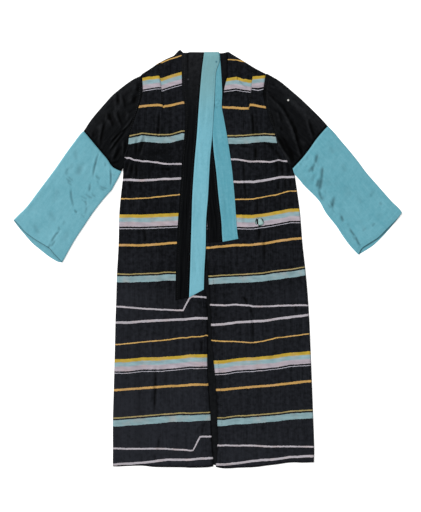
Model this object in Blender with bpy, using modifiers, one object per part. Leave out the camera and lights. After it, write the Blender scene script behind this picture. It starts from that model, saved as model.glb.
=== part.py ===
"""A striped kimono laid flat on its back, front side up, with its sleeves spread and drooping.

Left and right are the wearer's, so the right side has negative x. In the tables x is across from
the middle of the laid-out span, down is from the highest point of the shoulders towards the hem,
and z is up from the surface that the cloth lies on, all in millimetres.
"""

from collections import namedtuple

import bmesh
import bpy
import numpy as np

MM = 0.001
LENGTH = 1258.5
WALL = 1.2
COLLAR_WALL = 1.8
LAYER_GAP = 0.3
SEAM_GAP = 0.4
AIR = 1.6
SLEEVE_HEIGHT = 2 * WALL + AIR
FRONT_REST = WALL + LAYER_GAP
FRONT_PLATEAU = WALL + AIR
EDGE_FALL = 14.0
SEAM_FADE = 22.0

# How the collar's strips roll over the neck, and how far they stay raised past what they lie on.
NECK_EDGE = 9.0
NECK_ROLL = 2.6
NECK_ROLL_LENGTH = 14.0
DRAPE_ACROSS = 16.0
DRAPE_DOWN = 34.0
DRAPE_SAMPLES = 7

FRONT_COLUMNS = 21
FRONT_ROW_STEP = 30.0
SLEEVE_STEP = 18.0
SLEEVE_RINGS = 11
STRIP_COLUMNS = 5
STRIP_ROW_STEP = 30.0

Level = namedtuple("Level", "down side_right edge_right edge_left side_left")
BODY = (
    Level(352, -254.5, -58, 18, 255.5),
    Level(465, -262.5, -50, 4, 272),
    Level(573, -267.5, -34, -3.5, 283),
    Level(678, -272, -16, 3, 294),
    Level(768, -275.5, 0.5, 9, 302.5),
    Level(882, -278.5, 3, 14, 308),
    Level(1005, -281.5, 5.5, 25, 313.5),
    Level(1110, -283.5, 9, 27.5, 317),
    Level(1200, -284, 15.5, 28, 320),
)
UnderCollar = namedtuple("UnderCollar", "down edge_right edge_left")
UNDER_COLLAR = (
    UnderCollar(8, -78, 63.5),
    UnderCollar(30, -77, 62),
    UnderCollar(60, -64, 44),
    UnderCollar(129, -62, 40),
    UnderCollar(174, -54, 36),
    UnderCollar(279, -59, 27.5),
)
Armhole = namedtuple("Armhole", "down right left")
ARMHOLE = (
    Armhole(72, -194.5, 176),
    Armhole(129, -193, 169),
    Armhole(174, -205, 177),
    Armhole(255, -235, 205),
    Armhole(288, -239.5, 214),
    Armhole(324, -250, 240),
)

# The outlines below are rows of x, down.
SHOULDER_RIGHT = ((-194.5, 72), (-145, 39), (-97, 15), (-80.5, 0), (-78, 8))
SHOULDER_LEFT = ((176, 72), (158, 63), (116, 39), (74, 15), (63.5, 8))
NECK_BACK = ((-70, 11), (59, 11))
HEM_RIGHT = ((-283, 1248), (-214, 1249), (-148, 1254), (-52, 1255), (-1, 1254), (18.5, 1251))
HEM_LEFT = ((319, 1239), (233, 1243), (182, 1249), (146, 1255), (74, 1258.5), (38, 1257), (26, 1252.5))

Sleeve = namedtuple("Sleeve", "top seam lower_top lower_under cuff_front cuff_back")
SLEEVE_RIGHT = Sleeve(
    top=((-194.5, 72), (-223, 87), (-256, 111), (-307, 159), (-349, 207), (-374.5, 247.5)),
    seam=((-374.5, 247.5), (-343, 285), (-304, 333), (-277, 366), (-263, 371.5)),
    lower_top=((-374.5, 247.5), (-445, 339), (-487, 399), (-523, 447), (-568, 495), (-582, 512)),
    lower_under=((-263, 371.5), (-274, 399), (-355, 507), (-403, 579), (-419.5, 615), (-436, 639)),
    cuff_front=((-582, 512), (-556, 540), (-535, 567), (-508, 583.5), (-475, 598.5), (-436, 639)),
    cuff_back=((-582, 512), (-562, 541.5), (-526, 579), (-496, 603), (-469, 625.5), (-436, 639)),
)
SLEEVE_LEFT = Sleeve(
    top=((176, 72), (203, 87), (236, 111), (293, 159), (338, 207), (360.5, 232.5)),
    seam=((360.5, 232.5), (335, 261), (308, 297), (290, 321), (260, 358.5)),
    lower_top=((360.5, 232.5), (413, 291), (491, 387), (530, 435), (563, 471), (582, 492)),
    lower_under=((260, 358.5), (265, 382.5), (281, 400.5), (329, 447), (404, 555), (454, 612)),
    cuff_front=((582, 492), (557, 529.5), (533, 552), (499, 576), (462, 597), (454, 612)),
    cuff_back=((582, 492), (551, 531), (527, 558), (506, 579), (470, 603), (454, 612)),
)

# Each half of the collar is a strip from its seam on the front to the join of its two colours,
# and a strip from the join to its free edge.
Collar = namedtuple("Collar", "down seam join free")
COLLAR_RIGHT = (
    Collar(NECK_EDGE, -76, -8.5, 35),
    Collar(87, -76, -13, 26.5),
    Collar(120, -75, -17, 24),
    Collar(159, -65.5, -21.5, 21),
    Collar(258, -70, -30, 13),
    Collar(342, -76, -37.5, 5),
    Collar(498, -86.5, -46, -5.5),
    Collar(582, -92, -50, -9),
    Collar(678, -94.5, -52, -13),
)
COLLAR_LEFT = (
    Collar(NECK_EDGE, 37.5, -6, -50),
    Collar(51, 36.5, -5.5, -49),
    Collar(129, 41, -1, -44),
    Collar(201, 45.5, 3.5, -39.5),
    Collar(243, 53, 10.5, -32.5),
    Collar(285, 62.5, 17, -26),
    Collar(375, 72.5, 28.5, -14.5),
    Collar(423, 76.5, 32.5, -10.5),
    Collar(513, 84.5, 43, 0),
)
CollarEnd = namedtuple("CollarEnd", "seam join free")
COLLAR_RIGHT_END = CollarEnd((-95.5, 752), (-54, 750), (-14, 724))
COLLAR_LEFT_END = CollarEnd((92, 573), (50, 579), (2, 579))
Neck = namedtuple("Neck", "down inner outer")
NECK = (
    Neck(NECK_EDGE, -60, 62),
    Neck(40, -58, 59),
    Neck(62, -20, 57.5),
    Neck(90, 12, 56),
    Neck(130, 28, 50),
    Neck(172, 37, 43),
)

Fold = namedtuple("Fold", "x0 down0 x1 down1 rise half_width")
FOLDS_FRONT_RIGHT = (
    Fold(-139, 28, -139, 180, 2.2, 18),
    Fold(-217, 282, -223, 372, 3.0, 17),
    Fold(-190, 290, -192, 400, 2.6, 17),
    Fold(-172, 296, -108, 304, 1.8, 17),
    Fold(-150, 420, -152, 560, 1.6, 18),
    Fold(-154, 950, -160, 1070, 2.4, 20),
    Fold(-205, 690, -212, 860, 1.8, 22),
    Fold(-36, 862, -30, 925, 1.8, 18),
)
FOLDS_FRONT_LEFT = (
    Fold(131, 45, 125, 180, 2.2, 18),
    Fold(138, 192, 137, 262, 1.8, 18),
    Fold(210, 315, 203, 455, 3.0, 17),
    Fold(240, 375, 242, 520, 3.0, 16),
    Fold(176, 372, 170, 505, 2.4, 17),
    Fold(120, 330, 126, 470, 1.8, 18),
    Fold(112, 735, 138, 890, 2.4, 20),
    Fold(156, 570, 158, 670, 1.8, 20),
    Fold(255, 760, 262, 960, 1.8, 24),
)
FOLDS_UPPER_RIGHT = (
    Fold(-240, 140, -308, 300, 3.0, 18),
    Fold(-222, 180, -276, 318, 3.0, 15),
    Fold(-276, 134, -338, 250, 2.4, 17),
)
FOLDS_UPPER_LEFT = (
    Fold(198, 130, 264, 290, 3.0, 18),
    Fold(232, 130, 292, 270, 2.8, 17),
    Fold(268, 150, 322, 240, 2.4, 17),
)
FOLDS_LOWER_RIGHT = (
    Fold(-326, 330, -346, 410, 2.4, 17),
    Fold(-404, 400, -398, 480, 2.4, 18),
    Fold(-432, 500, -470, 575, 2.0, 18),
)
FOLDS_LOWER_LEFT = (
    Fold(322, 338, 362, 452, 2.6, 18),
    Fold(400, 490, 446, 566, 2.2, 17),
    Fold(300, 372, 330, 425, 2.2, 16),
)

BLACK_SILK = (0.012, 0.013, 0.016)
STRIPED_SILK = (0.035, 0.036, 0.042)
TURQUOISE_SILK = (0.14, 0.39, 0.46)
SILK_ROUGHNESS = 0.55


def clear_scene():
    for obj in list(bpy.data.objects):
        bpy.data.objects.remove(obj)


def silk(name, colour):
    """A matte silk finish of one colour."""
    material = bpy.data.materials.new(name)
    material.use_nodes = True
    shader = material.node_tree.nodes["Principled BSDF"]
    shader.inputs["Base Color"].default_value = (*colour, 1)
    shader.inputs["Roughness"].default_value = SILK_ROUGHNESS
    shader.inputs["Metallic"].default_value = 0
    return material


def ramp(distance, width):
    """0 at no distance, 1 from the width onwards, smooth at both ends."""
    t = np.clip(distance / width, 0, 1)
    return t * t * (3 - 2 * t)


def outline_length(outline):
    return float(np.linalg.norm(np.diff(np.array(outline, float), axis=0), axis=1).sum())


def fractions(outline):
    """How far along its outline each corner lies, from 0 to 1."""
    steps = np.linalg.norm(np.diff(np.array(outline, float), axis=0), axis=1)
    return np.concatenate([[0], np.cumsum(steps)]) / steps.sum()


def along(outline, share):
    """The place on an outline at a share of its length."""
    table = np.array(outline, float)
    knots = fractions(outline)
    return np.stack([np.interp(share, knots, table[:, i]) for i in (0, 1)], axis=-1)


def spaced(shares, length, step):
    """The shares, with more between them where two lie further apart than the step."""
    filled = []
    for low, high in zip(shares[:-1], shares[1:]):
        parts = max(1, int(np.ceil((high - low) * length / step)))
        filled.extend(np.linspace(low, high, parts, endpoint=False))
    return np.array([*filled, shares[-1]])


def patch(left, right, top, bottom, u, v):
    """The place at u across and v down a cloth bounded by four outlines."""
    u, v = u[..., None], v[..., None]
    sides = (1 - u) * along(left, v[..., 0]) + u * along(right, v[..., 0])
    ends = (1 - v) * along(top, u[..., 0]) + v * along(bottom, u[..., 0])
    corners = [np.array(place, float) for place in (top[0], top[-1], bottom[0], bottom[-1])]
    upper = (1 - u) * corners[0] + u * corners[1]
    lower = (1 - u) * corners[2] + u * corners[3]
    return sides + ends - (1 - v) * upper - v * lower


def distance_to(line, x, down):
    """The distance from each place to the nearest part of a line of corners."""
    here = np.stack([x, down], axis=-1)
    nearest = np.full(x.shape, np.inf)
    for start, end in zip(np.array(line[:-1], float), np.array(line[1:], float)):
        run = end - start
        share = np.clip((here - start) @ run / (run @ run), 0, 1)
        gap = np.linalg.norm(here - start - share[..., None] * run, axis=-1)
        nearest = np.minimum(nearest, gap)
    return nearest


def nearest_of(lines, x, down):
    return np.min([distance_to(line, x, down) for line in lines], axis=0)


def fold_rise(folds, x, down):
    """The height that soft ridges add, each round across and rounded off at its ends."""
    total = np.zeros(x.shape)
    for fold in folds:
        gap = distance_to(((fold.x0, fold.down0), (fold.x1, fold.down1)), x, down)
        flank = np.cos(np.clip(gap / fold.half_width, 0, 1) * np.pi / 2) ** 2
        total = np.maximum(total, fold.rise * flank)
    return total


def grid_mesh(x, down, z):
    """A grid of cloth through tables of places."""
    columns, rows = x.shape
    mesh = bmesh.new()
    bmesh.ops.create_grid(mesh, x_segments=columns - 1, y_segments=rows - 1, size=0.5)
    for vertex in mesh.verts:
        i = round((vertex.co.x + 0.5) * (columns - 1))
        j = round((vertex.co.y + 0.5) * (rows - 1))
        vertex.co = (x[i, j] * MM, (LENGTH / 2 - down[i, j]) * MM, z[i, j] * MM)
    return mesh


def add_object(name, mesh, material, collection):
    bmesh.ops.recalc_face_normals(mesh, faces=mesh.faces)
    data = bpy.data.meshes.new(name)
    mesh.to_mesh(data)
    mesh.free()
    data.shade_smooth()
    data.materials.append(material)
    obj = bpy.data.objects.new(name, data)
    collection.objects.link(obj)
    return obj


def add_sheet(name, x, down, underside, wall, material, collection):
    """A cloth with its wall raised from the heights of its underside."""
    mesh = grid_mesh(x, down, underside)
    raised = bmesh.ops.extrude_face_region(mesh, geom=mesh.faces[:])
    top = [part for part in raised["geom"] if isinstance(part, bmesh.types.BMVert)]
    bmesh.ops.translate(mesh, verts=top, vec=(0, 0, wall * MM))
    add_object(name, mesh, material, collection)


def side_outlines(side):
    """The armhole, side seam and front edge of one side, each from the top down."""
    armhole = [(getattr(row, side), row.down) for row in ARMHOLE]
    seam = [(getattr(row, f"side_{side}"), row.down) for row in BODY]
    covered = [(getattr(row, f"edge_{side}"), row.down) for row in UNDER_COLLAR]
    edge = [(getattr(row, f"edge_{side}"), row.down) for row in BODY]
    hem = HEM_RIGHT if side == "right" else HEM_LEFT
    return armhole + seam[:1], seam + [hem[0]], covered + edge + [hem[-1]]


def add_back(material, collection):
    """The back, a flat sheet with the body's whole outline."""
    armhole_right, side_right, _ = side_outlines("right")
    armhole_left, side_left, _ = side_outlines("left")
    down_left = [*SHOULDER_LEFT[-2:0:-1], *armhole_left[:-1], *side_left, *HEM_LEFT[1:]]
    up_right = [*HEM_RIGHT[:0:-1], *side_right[::-1], *armhole_right[-2::-1], *SHOULDER_RIGHT[1:-1]]
    outline = [*NECK_BACK, *down_left, *up_right]
    curve = bpy.data.curves.new("back", "CURVE")
    curve.dimensions = "2D"
    curve.fill_mode = "BOTH"
    curve.extrude = WALL / 2 * MM
    spline = curve.splines.new("POLY")
    spline.points.add(len(outline) - 1)
    for point, (x, down) in zip(spline.points, outline):
        point.co = (x * MM, (LENGTH / 2 - down) * MM, 0, 1)
    spline.use_cyclic_u = True
    curve.materials.append(material)
    back = bpy.data.objects.new("back", curve)
    back.location.z = WALL / 2 * MM
    collection.objects.link(back)


def add_front(side, shoulder, hem, folds, material, collection):
    """A front, sewn to the back at the shoulder and side, and free at its hem and front edge."""
    armhole, seam, edge = side_outlines(side)
    outer = [*armhole, *seam[1:]]
    rows = spaced(fractions(outer), outline_length(outer), FRONT_ROW_STEP)
    u, v = np.meshgrid(np.linspace(0, 1, FRONT_COLUMNS), rows, indexing="ij")
    places = patch(outer, edge, shoulder, hem, u, v)
    x, down = places[..., 0], places[..., 1]
    lowered = nearest_of((shoulder, seam, hem, edge), x, down)
    underside = FRONT_REST + (FRONT_PLATEAU - FRONT_REST) * ramp(lowered, EDGE_FALL)
    inside = np.minimum(lowered, distance_to(armhole, x, down))
    underside = underside + fold_rise(folds, x, down) * ramp(inside, SEAM_FADE)
    add_sheet(f"front_{side}", x, down, underside, WALL, material, collection)


def add_tube(name, seam, top, under, end_front, end_back, sewn, folds, out, material, collection):
    """A flattened tube of cloth from a seam to its outer end, its corners those of what it is sewn to."""
    rim = SLEEVE_HEIGHT / 2
    width = outline_length(end_front)
    corners = np.unique(np.concatenate([fractions(line) for line in sewn]).round(4))
    shares = spaced(corners, outline_length(seam), SLEEVE_STEP)
    start = rim / width
    bend = start * (1 - np.sqrt(0.5))
    inner = shares[(shares > 2 * start) & (shares < 1 - 2 * start)]
    shares = np.concatenate([[0, bend, start], inner, [1 - start, 1 - bend, 1]])
    u, v = np.meshgrid(shares, np.linspace(0, 1, SLEEVE_RINGS), indexing="ij")
    from_fold = np.clip(np.minimum(u, 1 - u) * width, 0, rim)
    bulge = np.sqrt(rim**2 - (rim - from_fold) ** 2)
    loops = []
    for sign, end in ((1, end_front), (-1, end_back)):
        places = patch(top, under, seam, end, u, v) + np.array(out) * (1 - v[..., None])
        x, down = places[..., 0], places[..., 1]
        z = rim + sign * bulge
        if sign > 0:
            inside = nearest_of((seam, end, top, under), x, down)
            z = z + fold_rise(folds, x, down) * ramp(inside, SEAM_FADE)
        loops.append((x, down, z))
    ring = [np.concatenate([front, back[-2::-1]]) for front, back in zip(*loops)]
    mesh = grid_mesh(*ring)
    bmesh.ops.remove_doubles(mesh, verts=mesh.verts, dist=MM * MM)
    tube = add_object(name, mesh, material, collection)
    wall = tube.modifiers.new("wall", "SOLIDIFY")
    wall.thickness = WALL * MM
    wall.offset = -1


def add_sleeve(side, shape, upper_folds, lower_folds, black, turquoise, collection):
    """A black upper tube from the armhole and a turquoise lower tube from the seam to the cuff."""
    armhole, _, _ = side_outlines(side)
    outward = -SEAM_GAP if side == "right" else SEAM_GAP
    add_tube(
        f"sleeve_upper_{side}", armhole, shape.top, (armhole[-1], shape.seam[-1]), shape.seam,
        shape.seam, (armhole, shape.seam), upper_folds, (outward, 0), black, collection,
    )
    add_tube(
        f"sleeve_lower_{side}", shape.seam, shape.lower_top, shape.lower_under, shape.cuff_front,
        shape.cuff_back, (shape.seam,), lower_folds, (outward, SEAM_GAP), turquoise, collection,
    )


class Strip:
    """A strip of the collar between two edges that run down the front, and what it lies on."""

    def __init__(self, name, left, right, lower):
        self.name, self.lower = name, lower
        self.left, self.right = np.array(left, float), np.array(right, float)

    def span(self, down):
        return [np.interp(down, edge[:, 1], edge[:, 0]) for edge in (self.left, self.right)]

    def covers(self, x, down):
        low, high = self.span(down)
        last = max(self.left[-1, 1], self.right[-1, 1])
        return (x >= low) & (x <= high) & (down >= NECK_EDGE) & (down <= last)

    def underside(self, x, down):
        height = np.full(x.shape, FRONT_PLATEAU + WALL + LAYER_GAP)
        for strip in self.lower:
            height = np.maximum(height, strip.top_near(x, down) + LAYER_GAP)
        return height

    def top_near(self, x, down):
        """The highest that this strip reaches near each place."""
        highest = np.zeros(x.shape)
        for dx in np.linspace(-DRAPE_ACROSS, DRAPE_ACROSS, DRAPE_SAMPLES):
            for dd in np.linspace(-DRAPE_DOWN, DRAPE_DOWN, DRAPE_SAMPLES):
                top = self.underside(x + dx, down + dd) + COLLAR_WALL
                here = self.covers(x + dx, down + dd)
                highest = np.where(here, np.maximum(highest, top), highest)
        return highest

    def build(self, material, collection):
        end = self.left[-1, 1]
        roll_rows = NECK_EDGE + NECK_ROLL_LENGTH * np.linspace(0, 1, 4)
        count = int(np.ceil((end - roll_rows[-1]) / STRIP_ROW_STEP))
        rows = np.concatenate([roll_rows, np.linspace(roll_rows[-1], end, count + 1)[1:]])
        shares = (rows - NECK_EDGE) / (end - NECK_EDGE)
        u, v = np.meshgrid(np.linspace(0, 1, STRIP_COLUMNS), shares, indexing="ij")
        last = (1 - u) * self.left[-1, 1] + u * self.right[-1, 1]
        down = NECK_EDGE + v * (last - NECK_EDGE)
        low, high = self.span(down)
        x = (1 - u) * low + u * high
        roll = NECK_ROLL * (1 - ramp(down - NECK_EDGE, NECK_ROLL_LENGTH))
        add_sheet(self.name, x, down, self.underside(x, down) - roll, COLLAR_WALL, material, collection)


def collar_edge(table, end, column, shift=0.0):
    """One edge of the collar as x, down, moved across by a shift."""
    rows = [(getattr(row, column), row.down) for row in table] + [getattr(end, column)]
    return [(x + shift, down) for x, down in rows]


def add_collar(black, turquoise, collection):
    """A strip behind the neck, and a black and a turquoise strip down each front."""
    neck = Strip("collar_neck", [(r.inner, r.down) for r in NECK], [(r.outer, r.down) for r in NECK], [])
    left = (COLLAR_LEFT, COLLAR_LEFT_END)
    right = (COLLAR_RIGHT, COLLAR_RIGHT_END)
    left_black = Strip(
        "collar_left_black", collar_edge(*left, "free"), collar_edge(*left, "join", -SEAM_GAP), [neck]
    )
    left_turquoise = Strip(
        "collar_left_turquoise", collar_edge(*left, "join"), collar_edge(*left, "seam"), [neck]
    )
    lower = [left_black, left_turquoise]
    right_black = Strip(
        "collar_right_black", collar_edge(*right, "seam"), collar_edge(*right, "join", -SEAM_GAP), lower
    )
    right_turquoise = Strip(
        "collar_right_turquoise", collar_edge(*right, "join"), collar_edge(*right, "free"), lower
    )
    for strip in (neck, left_black, right_black):
        strip.build(black, collection)
    for strip in (left_turquoise, right_turquoise):
        strip.build(turquoise, collection)


def build_kimono():
    clear_scene()
    collection = bpy.data.collections.new("kimono")
    bpy.context.scene.collection.children.link(collection)
    black = silk("black_silk", BLACK_SILK)
    striped = silk("striped_silk", STRIPED_SILK)
    turquoise = silk("turquoise_silk", TURQUOISE_SILK)
    add_back(striped, collection)
    add_front("right", SHOULDER_RIGHT, HEM_RIGHT, FOLDS_FRONT_RIGHT, striped, collection)
    add_front("left", SHOULDER_LEFT, HEM_LEFT, FOLDS_FRONT_LEFT, striped, collection)
    add_sleeve(
        "right", SLEEVE_RIGHT, FOLDS_UPPER_RIGHT, FOLDS_LOWER_RIGHT, black, turquoise, collection
    )
    add_sleeve("left", SLEEVE_LEFT, FOLDS_UPPER_LEFT, FOLDS_LOWER_LEFT, black, turquoise, collection)
    add_collar(black, turquoise, collection)


build_kimono()
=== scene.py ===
from collections import namedtuple

import bmesh
import bpy
import numpy as np
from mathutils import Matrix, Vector


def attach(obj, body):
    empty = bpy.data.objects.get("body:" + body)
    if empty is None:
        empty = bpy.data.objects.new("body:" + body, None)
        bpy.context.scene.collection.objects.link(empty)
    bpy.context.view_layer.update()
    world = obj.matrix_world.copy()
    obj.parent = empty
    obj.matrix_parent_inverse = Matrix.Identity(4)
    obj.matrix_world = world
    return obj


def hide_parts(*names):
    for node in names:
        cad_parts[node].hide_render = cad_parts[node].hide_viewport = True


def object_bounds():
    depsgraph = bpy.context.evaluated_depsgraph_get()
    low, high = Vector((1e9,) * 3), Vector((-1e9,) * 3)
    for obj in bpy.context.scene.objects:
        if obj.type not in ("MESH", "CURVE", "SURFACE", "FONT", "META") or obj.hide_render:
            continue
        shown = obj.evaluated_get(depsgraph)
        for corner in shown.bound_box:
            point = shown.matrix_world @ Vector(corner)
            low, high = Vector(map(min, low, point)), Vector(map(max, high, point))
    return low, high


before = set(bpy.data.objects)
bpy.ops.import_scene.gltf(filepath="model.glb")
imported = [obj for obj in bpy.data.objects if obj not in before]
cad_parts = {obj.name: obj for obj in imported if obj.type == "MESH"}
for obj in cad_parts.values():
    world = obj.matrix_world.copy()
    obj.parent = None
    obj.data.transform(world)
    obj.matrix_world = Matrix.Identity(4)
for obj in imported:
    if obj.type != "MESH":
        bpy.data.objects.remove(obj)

cad_low, cad_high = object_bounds()

# The table that the kimono was laid on, a plain white board, seen from straight above.
# Places here and below are in millimetres: x across from the middle of the spread sleeves,
# down from the top of the shoulders, z up from the table. Left and right are the wearer's.
MM = 0.001
LENGTH = (cad_high.y - cad_low.y) / MM
PHOTO_HEIGHT = 1536
PHOTO_MIDDLE = (10.5, 619.5)
LAID_HEIGHT = 4
SENSOR = 36.0
LENS = 100.0
TABLE_SIZE = 6.0
WHITE_BOARD = (0.94, 0.94, 0.935, 1)
BRIGHT_GRAIN = (0.96, 0.96, 0.96, 1)
ROOM_WHITE = (1.0, 1.0, 1.0, 1)
TABLE_GLOW = 0.3
ROOM_STRENGTH = 0.42
KEY_STRENGTH = 3.5
KEY_SPREAD = 0.20
KEY_FROM = (-0.80, 0.50, 0.74)
FILL_STRENGTH = 0.35
FILL_FROM = (0.8, 0.1, 0.6)


def node(tree, kind, inputs=(), **settings):
    """One shader node: an input given as a socket is linked, any other value is set."""
    made = tree.nodes.new(kind)
    for name, value in settings.items():
        setattr(made, name, value)
    for name, value in dict(inputs).items():
        if isinstance(value, bpy.types.NodeSocket):
            tree.links.new(value, made.inputs[name])
        else:
            made.inputs[name].default_value = value
    return made


def mixed(tree, share, first, second):
    """One colour turning into another as the share goes from 0 to 1."""
    return node(tree, "ShaderNodeMix", {0: share, 6: first, 7: second}, data_type="RGBA").outputs[2]


def empty_material(name):
    material = bpy.data.materials.new(name)
    material.use_nodes = True
    tree = material.node_tree
    shader = tree.nodes["Principled BSDF"]
    return material, tree, shader


def plain_mesh(name, points, faces):
    mesh = bpy.data.meshes.new(name)
    mesh.from_pydata(points, [], faces)
    mesh.update()
    return mesh


def add_light(name, strength, spread, direction):
    lamp = bpy.data.lights.new(name, "SUN")
    lamp.energy = strength
    lamp.angle = spread
    light = bpy.data.objects.new(name, lamp)
    vector = np.array(direction) / np.linalg.norm(direction)
    light.rotation_mode = "QUATERNION"
    light.rotation_quaternion = Vector(vector).to_track_quat("Z", "Y")
    bpy.context.scene.collection.objects.link(light)


white_board, board_tree, board_shader = empty_material("white_board")
board_grain = node(board_tree, "ShaderNodeTexNoise", {"Scale": 9.0, "Detail": 3.0})
board_tone = mixed(board_tree, board_grain.outputs["Fac"], WHITE_BOARD, BRIGHT_GRAIN)
board_tree.links.new(board_tone, board_shader.inputs["Base Color"])
board_shader.inputs["Roughness"].default_value = 0.7
board_shader.inputs["Emission Color"].default_value = WHITE_BOARD
board_shader.inputs["Emission Strength"].default_value = TABLE_GLOW

half = TABLE_SIZE / 2
corners = [(-half, -half, 0), (half, -half, 0), (half, half, 0), (-half, half, 0)]
table = bpy.data.objects.new("table", plain_mesh("table", corners, [(0, 1, 2, 3)]))
table.data.materials.append(white_board)
bpy.context.scene.collection.objects.link(table)

lens = bpy.data.cameras.new("camera")
lens.lens = LENS
lens.sensor_width = SENSOR
camera = bpy.data.objects.new("camera", lens)
camera.location = (
    PHOTO_MIDDLE[0] * MM,
    (LENGTH / 2 - PHOTO_MIDDLE[1]) * MM,
    (PHOTO_HEIGHT * LENS / SENSOR + LAID_HEIGHT) * MM,
)
bpy.context.scene.collection.objects.link(camera)
bpy.context.scene.camera = camera
bpy.context.scene.view_settings.view_transform = "Standard"

room = bpy.data.worlds.new("room")
room.use_nodes = True
room.node_tree.nodes["Background"].inputs["Color"].default_value = ROOM_WHITE
room.node_tree.nodes["Background"].inputs["Strength"].default_value = ROOM_STRENGTH
bpy.context.scene.world = room
add_light("key", KEY_STRENGTH, KEY_SPREAD, KEY_FROM)
add_light("fill", FILL_STRENGTH, KEY_SPREAD, FILL_FROM)

# The back, one cloth from the neck to the hem, which lies under everything else.
# Striped silk, its coloured face down on the table and its plain dark inside up. It shows
# only through the front opening, and is sewn to the fronts at the shoulders and the sides.
SILK_WALL = 0.5
BACK_HEIGHT = 1.0
BACK_INSET = 2.2
BACK_STEP = 8.0
BACK_SPAN = (560, 1180)
BACK_NECK = ((-70, 12), (59, 12))
BACK_WEAR = 0.28
STRIPES_BLEND = (-60, 80)
STRIPES_KNOWN_FROM = 100
NEAR_EDGE = (0, 0.5, 1.2, 2.2, 3.6, 5.6, 8.4)
KNOTS, FIRST_KNOT = 96, (40, 20)
Swell = namedtuple("Swell", "height across lengthwise seed")
BACK_SWELL, BACK_FLAT_EDGE = Swell(0.15, 45, 90, 11), 0.05
WARP_PITCH, WEFT_PITCH = 0.0011, 0.0013
WAVE_BAND, WAVER = 0.314, 1.2
CLOUDS, WORN_RANGE = (0.3, 0.7), (0.70, 1.30)
WARP_SLUB, WEFT_SLUB = (420.0, 14.0, 1.0), (16.0, 520.0, 1.0)
BROAD_STREAK = (105.0, 5.0, 1.0)
WEAVE_RELIEF, CRUMPLE_RELIEF, RELIEF_DEPTH = 0.35, 2.4, 0.0006
MARK_CORE, MARK_RIM = 0.6, 1.3
# Painted shade: the colour that creases, seams and edges are darkened towards.
DEEP_SHADE = (0.001, 0.001, 0.001, 1)

Level = namedtuple("Level", "down right left")
SIDES = (
    Level(357, -252, 258),
    Level(378, -252, 263.5),
    Level(399, -254, 266.5),
    Level(447, -259.5, 273.5),
    Level(499, -263.5, 280),
    Level(572, -265, 285.5),
    Level(615, -267, 290),
    Level(677, -270.5, 297),
    Level(747, -272.5, 303),
    Level(819, -275, 307.5),
    Level(891, -276.5, 310.5),
    Level(1004, -279.5, 315),
    Level(1109, -282.5, 319),
    Level(1199, -282.5, 322),
)
ARMHOLES = (
    Level(73.5, -195, 176),
    Level(129, -193, 169),
    Level(174, -205, 177),
    Level(255, -231.5, 204),
    Level(288, -237, 214),
    Level(324, -250, 243),
)
SHOULDER = {
    "right": (
        (-195, 77), (-171, 61.5), (-147, 44), (-123, 30.5), (-99, 19.5), (-84, 3), (-79, 0.5), (-71, 9),
    ),
    "left": ((176, 70), (165, 64.5), (141, 52), (117, 37.5), (93, 23.5), (74, 12.5), (64, 6), (56, 10)),
}
HEM = {
    "right": (
        (-283, 1251), (-267, 1251), (-243, 1249.5), (-214, 1248), (-192, 1248), (-171, 1250), (-148, 1251.5),
        (-75, 1251.5), (-51, 1252.5), (-3, 1251), (18.5, 1248),
    ),
    "left": (
        (321, 1239), (285, 1239.5), (261, 1238.5), (237, 1240), (213, 1243.5), (189, 1246), (165, 1249),
        (141, 1251.5), (93, 1253), (69, 1254.5), (45, 1254), (26, 1250),
    ),
}


def smooth(corners, step=6.0):
    """A soft curve through the corners of an outline, as a close row of points."""
    inside = np.array(corners, float)
    first, last = 2 * inside[0] - inside[1], 2 * inside[-1] - inside[-2]
    run = np.vstack([first, inside, last])
    stretches = []
    for before, start, end, after in zip(run, run[1:], run[2:], run[3:]):
        count = max(2, int(np.ceil(np.linalg.norm(end - start) / step)))
        t = np.linspace(0, 1, count, endpoint=False)[:, None]
        bend = (2 * before - 5 * start + 4 * end - after) * t**2
        twist = (3 * start - before - 3 * end + after) * t**3
        stretches.append(start + ((end - before) * t + bend + twist) / 2)
    return np.vstack([*stretches, inside[-1:]])


def shares_along(outline):
    steps = np.linalg.norm(np.diff(np.array(outline, float), axis=0), axis=1)
    return np.concatenate([[0], np.cumsum(steps)]) / steps.sum()


def along(outline, share):
    """The place on an outline at a share of its length."""
    table = np.array(outline, float)
    return np.stack([np.interp(share, shares_along(outline), table[:, i]) for i in (0, 1)], axis=-1)


def patch(left, right, top, bottom, u, v):
    """The place at u across and v down a cloth bounded by four outlines."""
    u, v = u[..., None], v[..., None]
    sides = (1 - u) * along(left, v[..., 0]) + u * along(right, v[..., 0])
    ends = (1 - v) * along(top, u[..., 0]) + v * along(bottom, u[..., 0])
    corners = [np.array(place, float) for place in (top[0], top[-1], bottom[0], bottom[-1])]
    upper = (1 - u) * corners[0] + u * corners[1]
    lower = (1 - u) * corners[2] + u * corners[3]
    places = sides + ends - (1 - v) * upper - v * lower
    return places[..., 0], places[..., 1]


def spaced(length, step, extra=()):
    """Shares of a length at an even step, closer near both ends, and at any extra places."""
    near = np.array(NEAR_EDGE)
    far = np.arange(near[-1], length - near[-1], step)
    places = np.concatenate([near, far[1:], (length - near)[::-1], np.array(extra, float)])
    return np.unique(places.round(3)) / length


def distance_to(line, x, down):
    """The distance from each place to the nearest part of a line of points."""
    nearest = np.full(x.shape, np.inf)
    for (x0, d0), (x1, d1) in zip(line[:-1], line[1:]):
        run_x, run_d = x1 - x0, d1 - d0
        share = np.clip(((x - x0) * run_x + (down - d0) * run_d) / (run_x**2 + run_d**2), 0, 1)
        nearest = np.minimum(nearest, np.hypot(x - x0 - share * run_x, down - d0 - share * run_d))
    return nearest


def ramp(distance, width):
    """0 at no distance, 1 from the width onwards, smooth at both ends."""
    t = np.clip(distance / width, 0, 1)
    return t * t * (3 - 2 * t)


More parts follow.
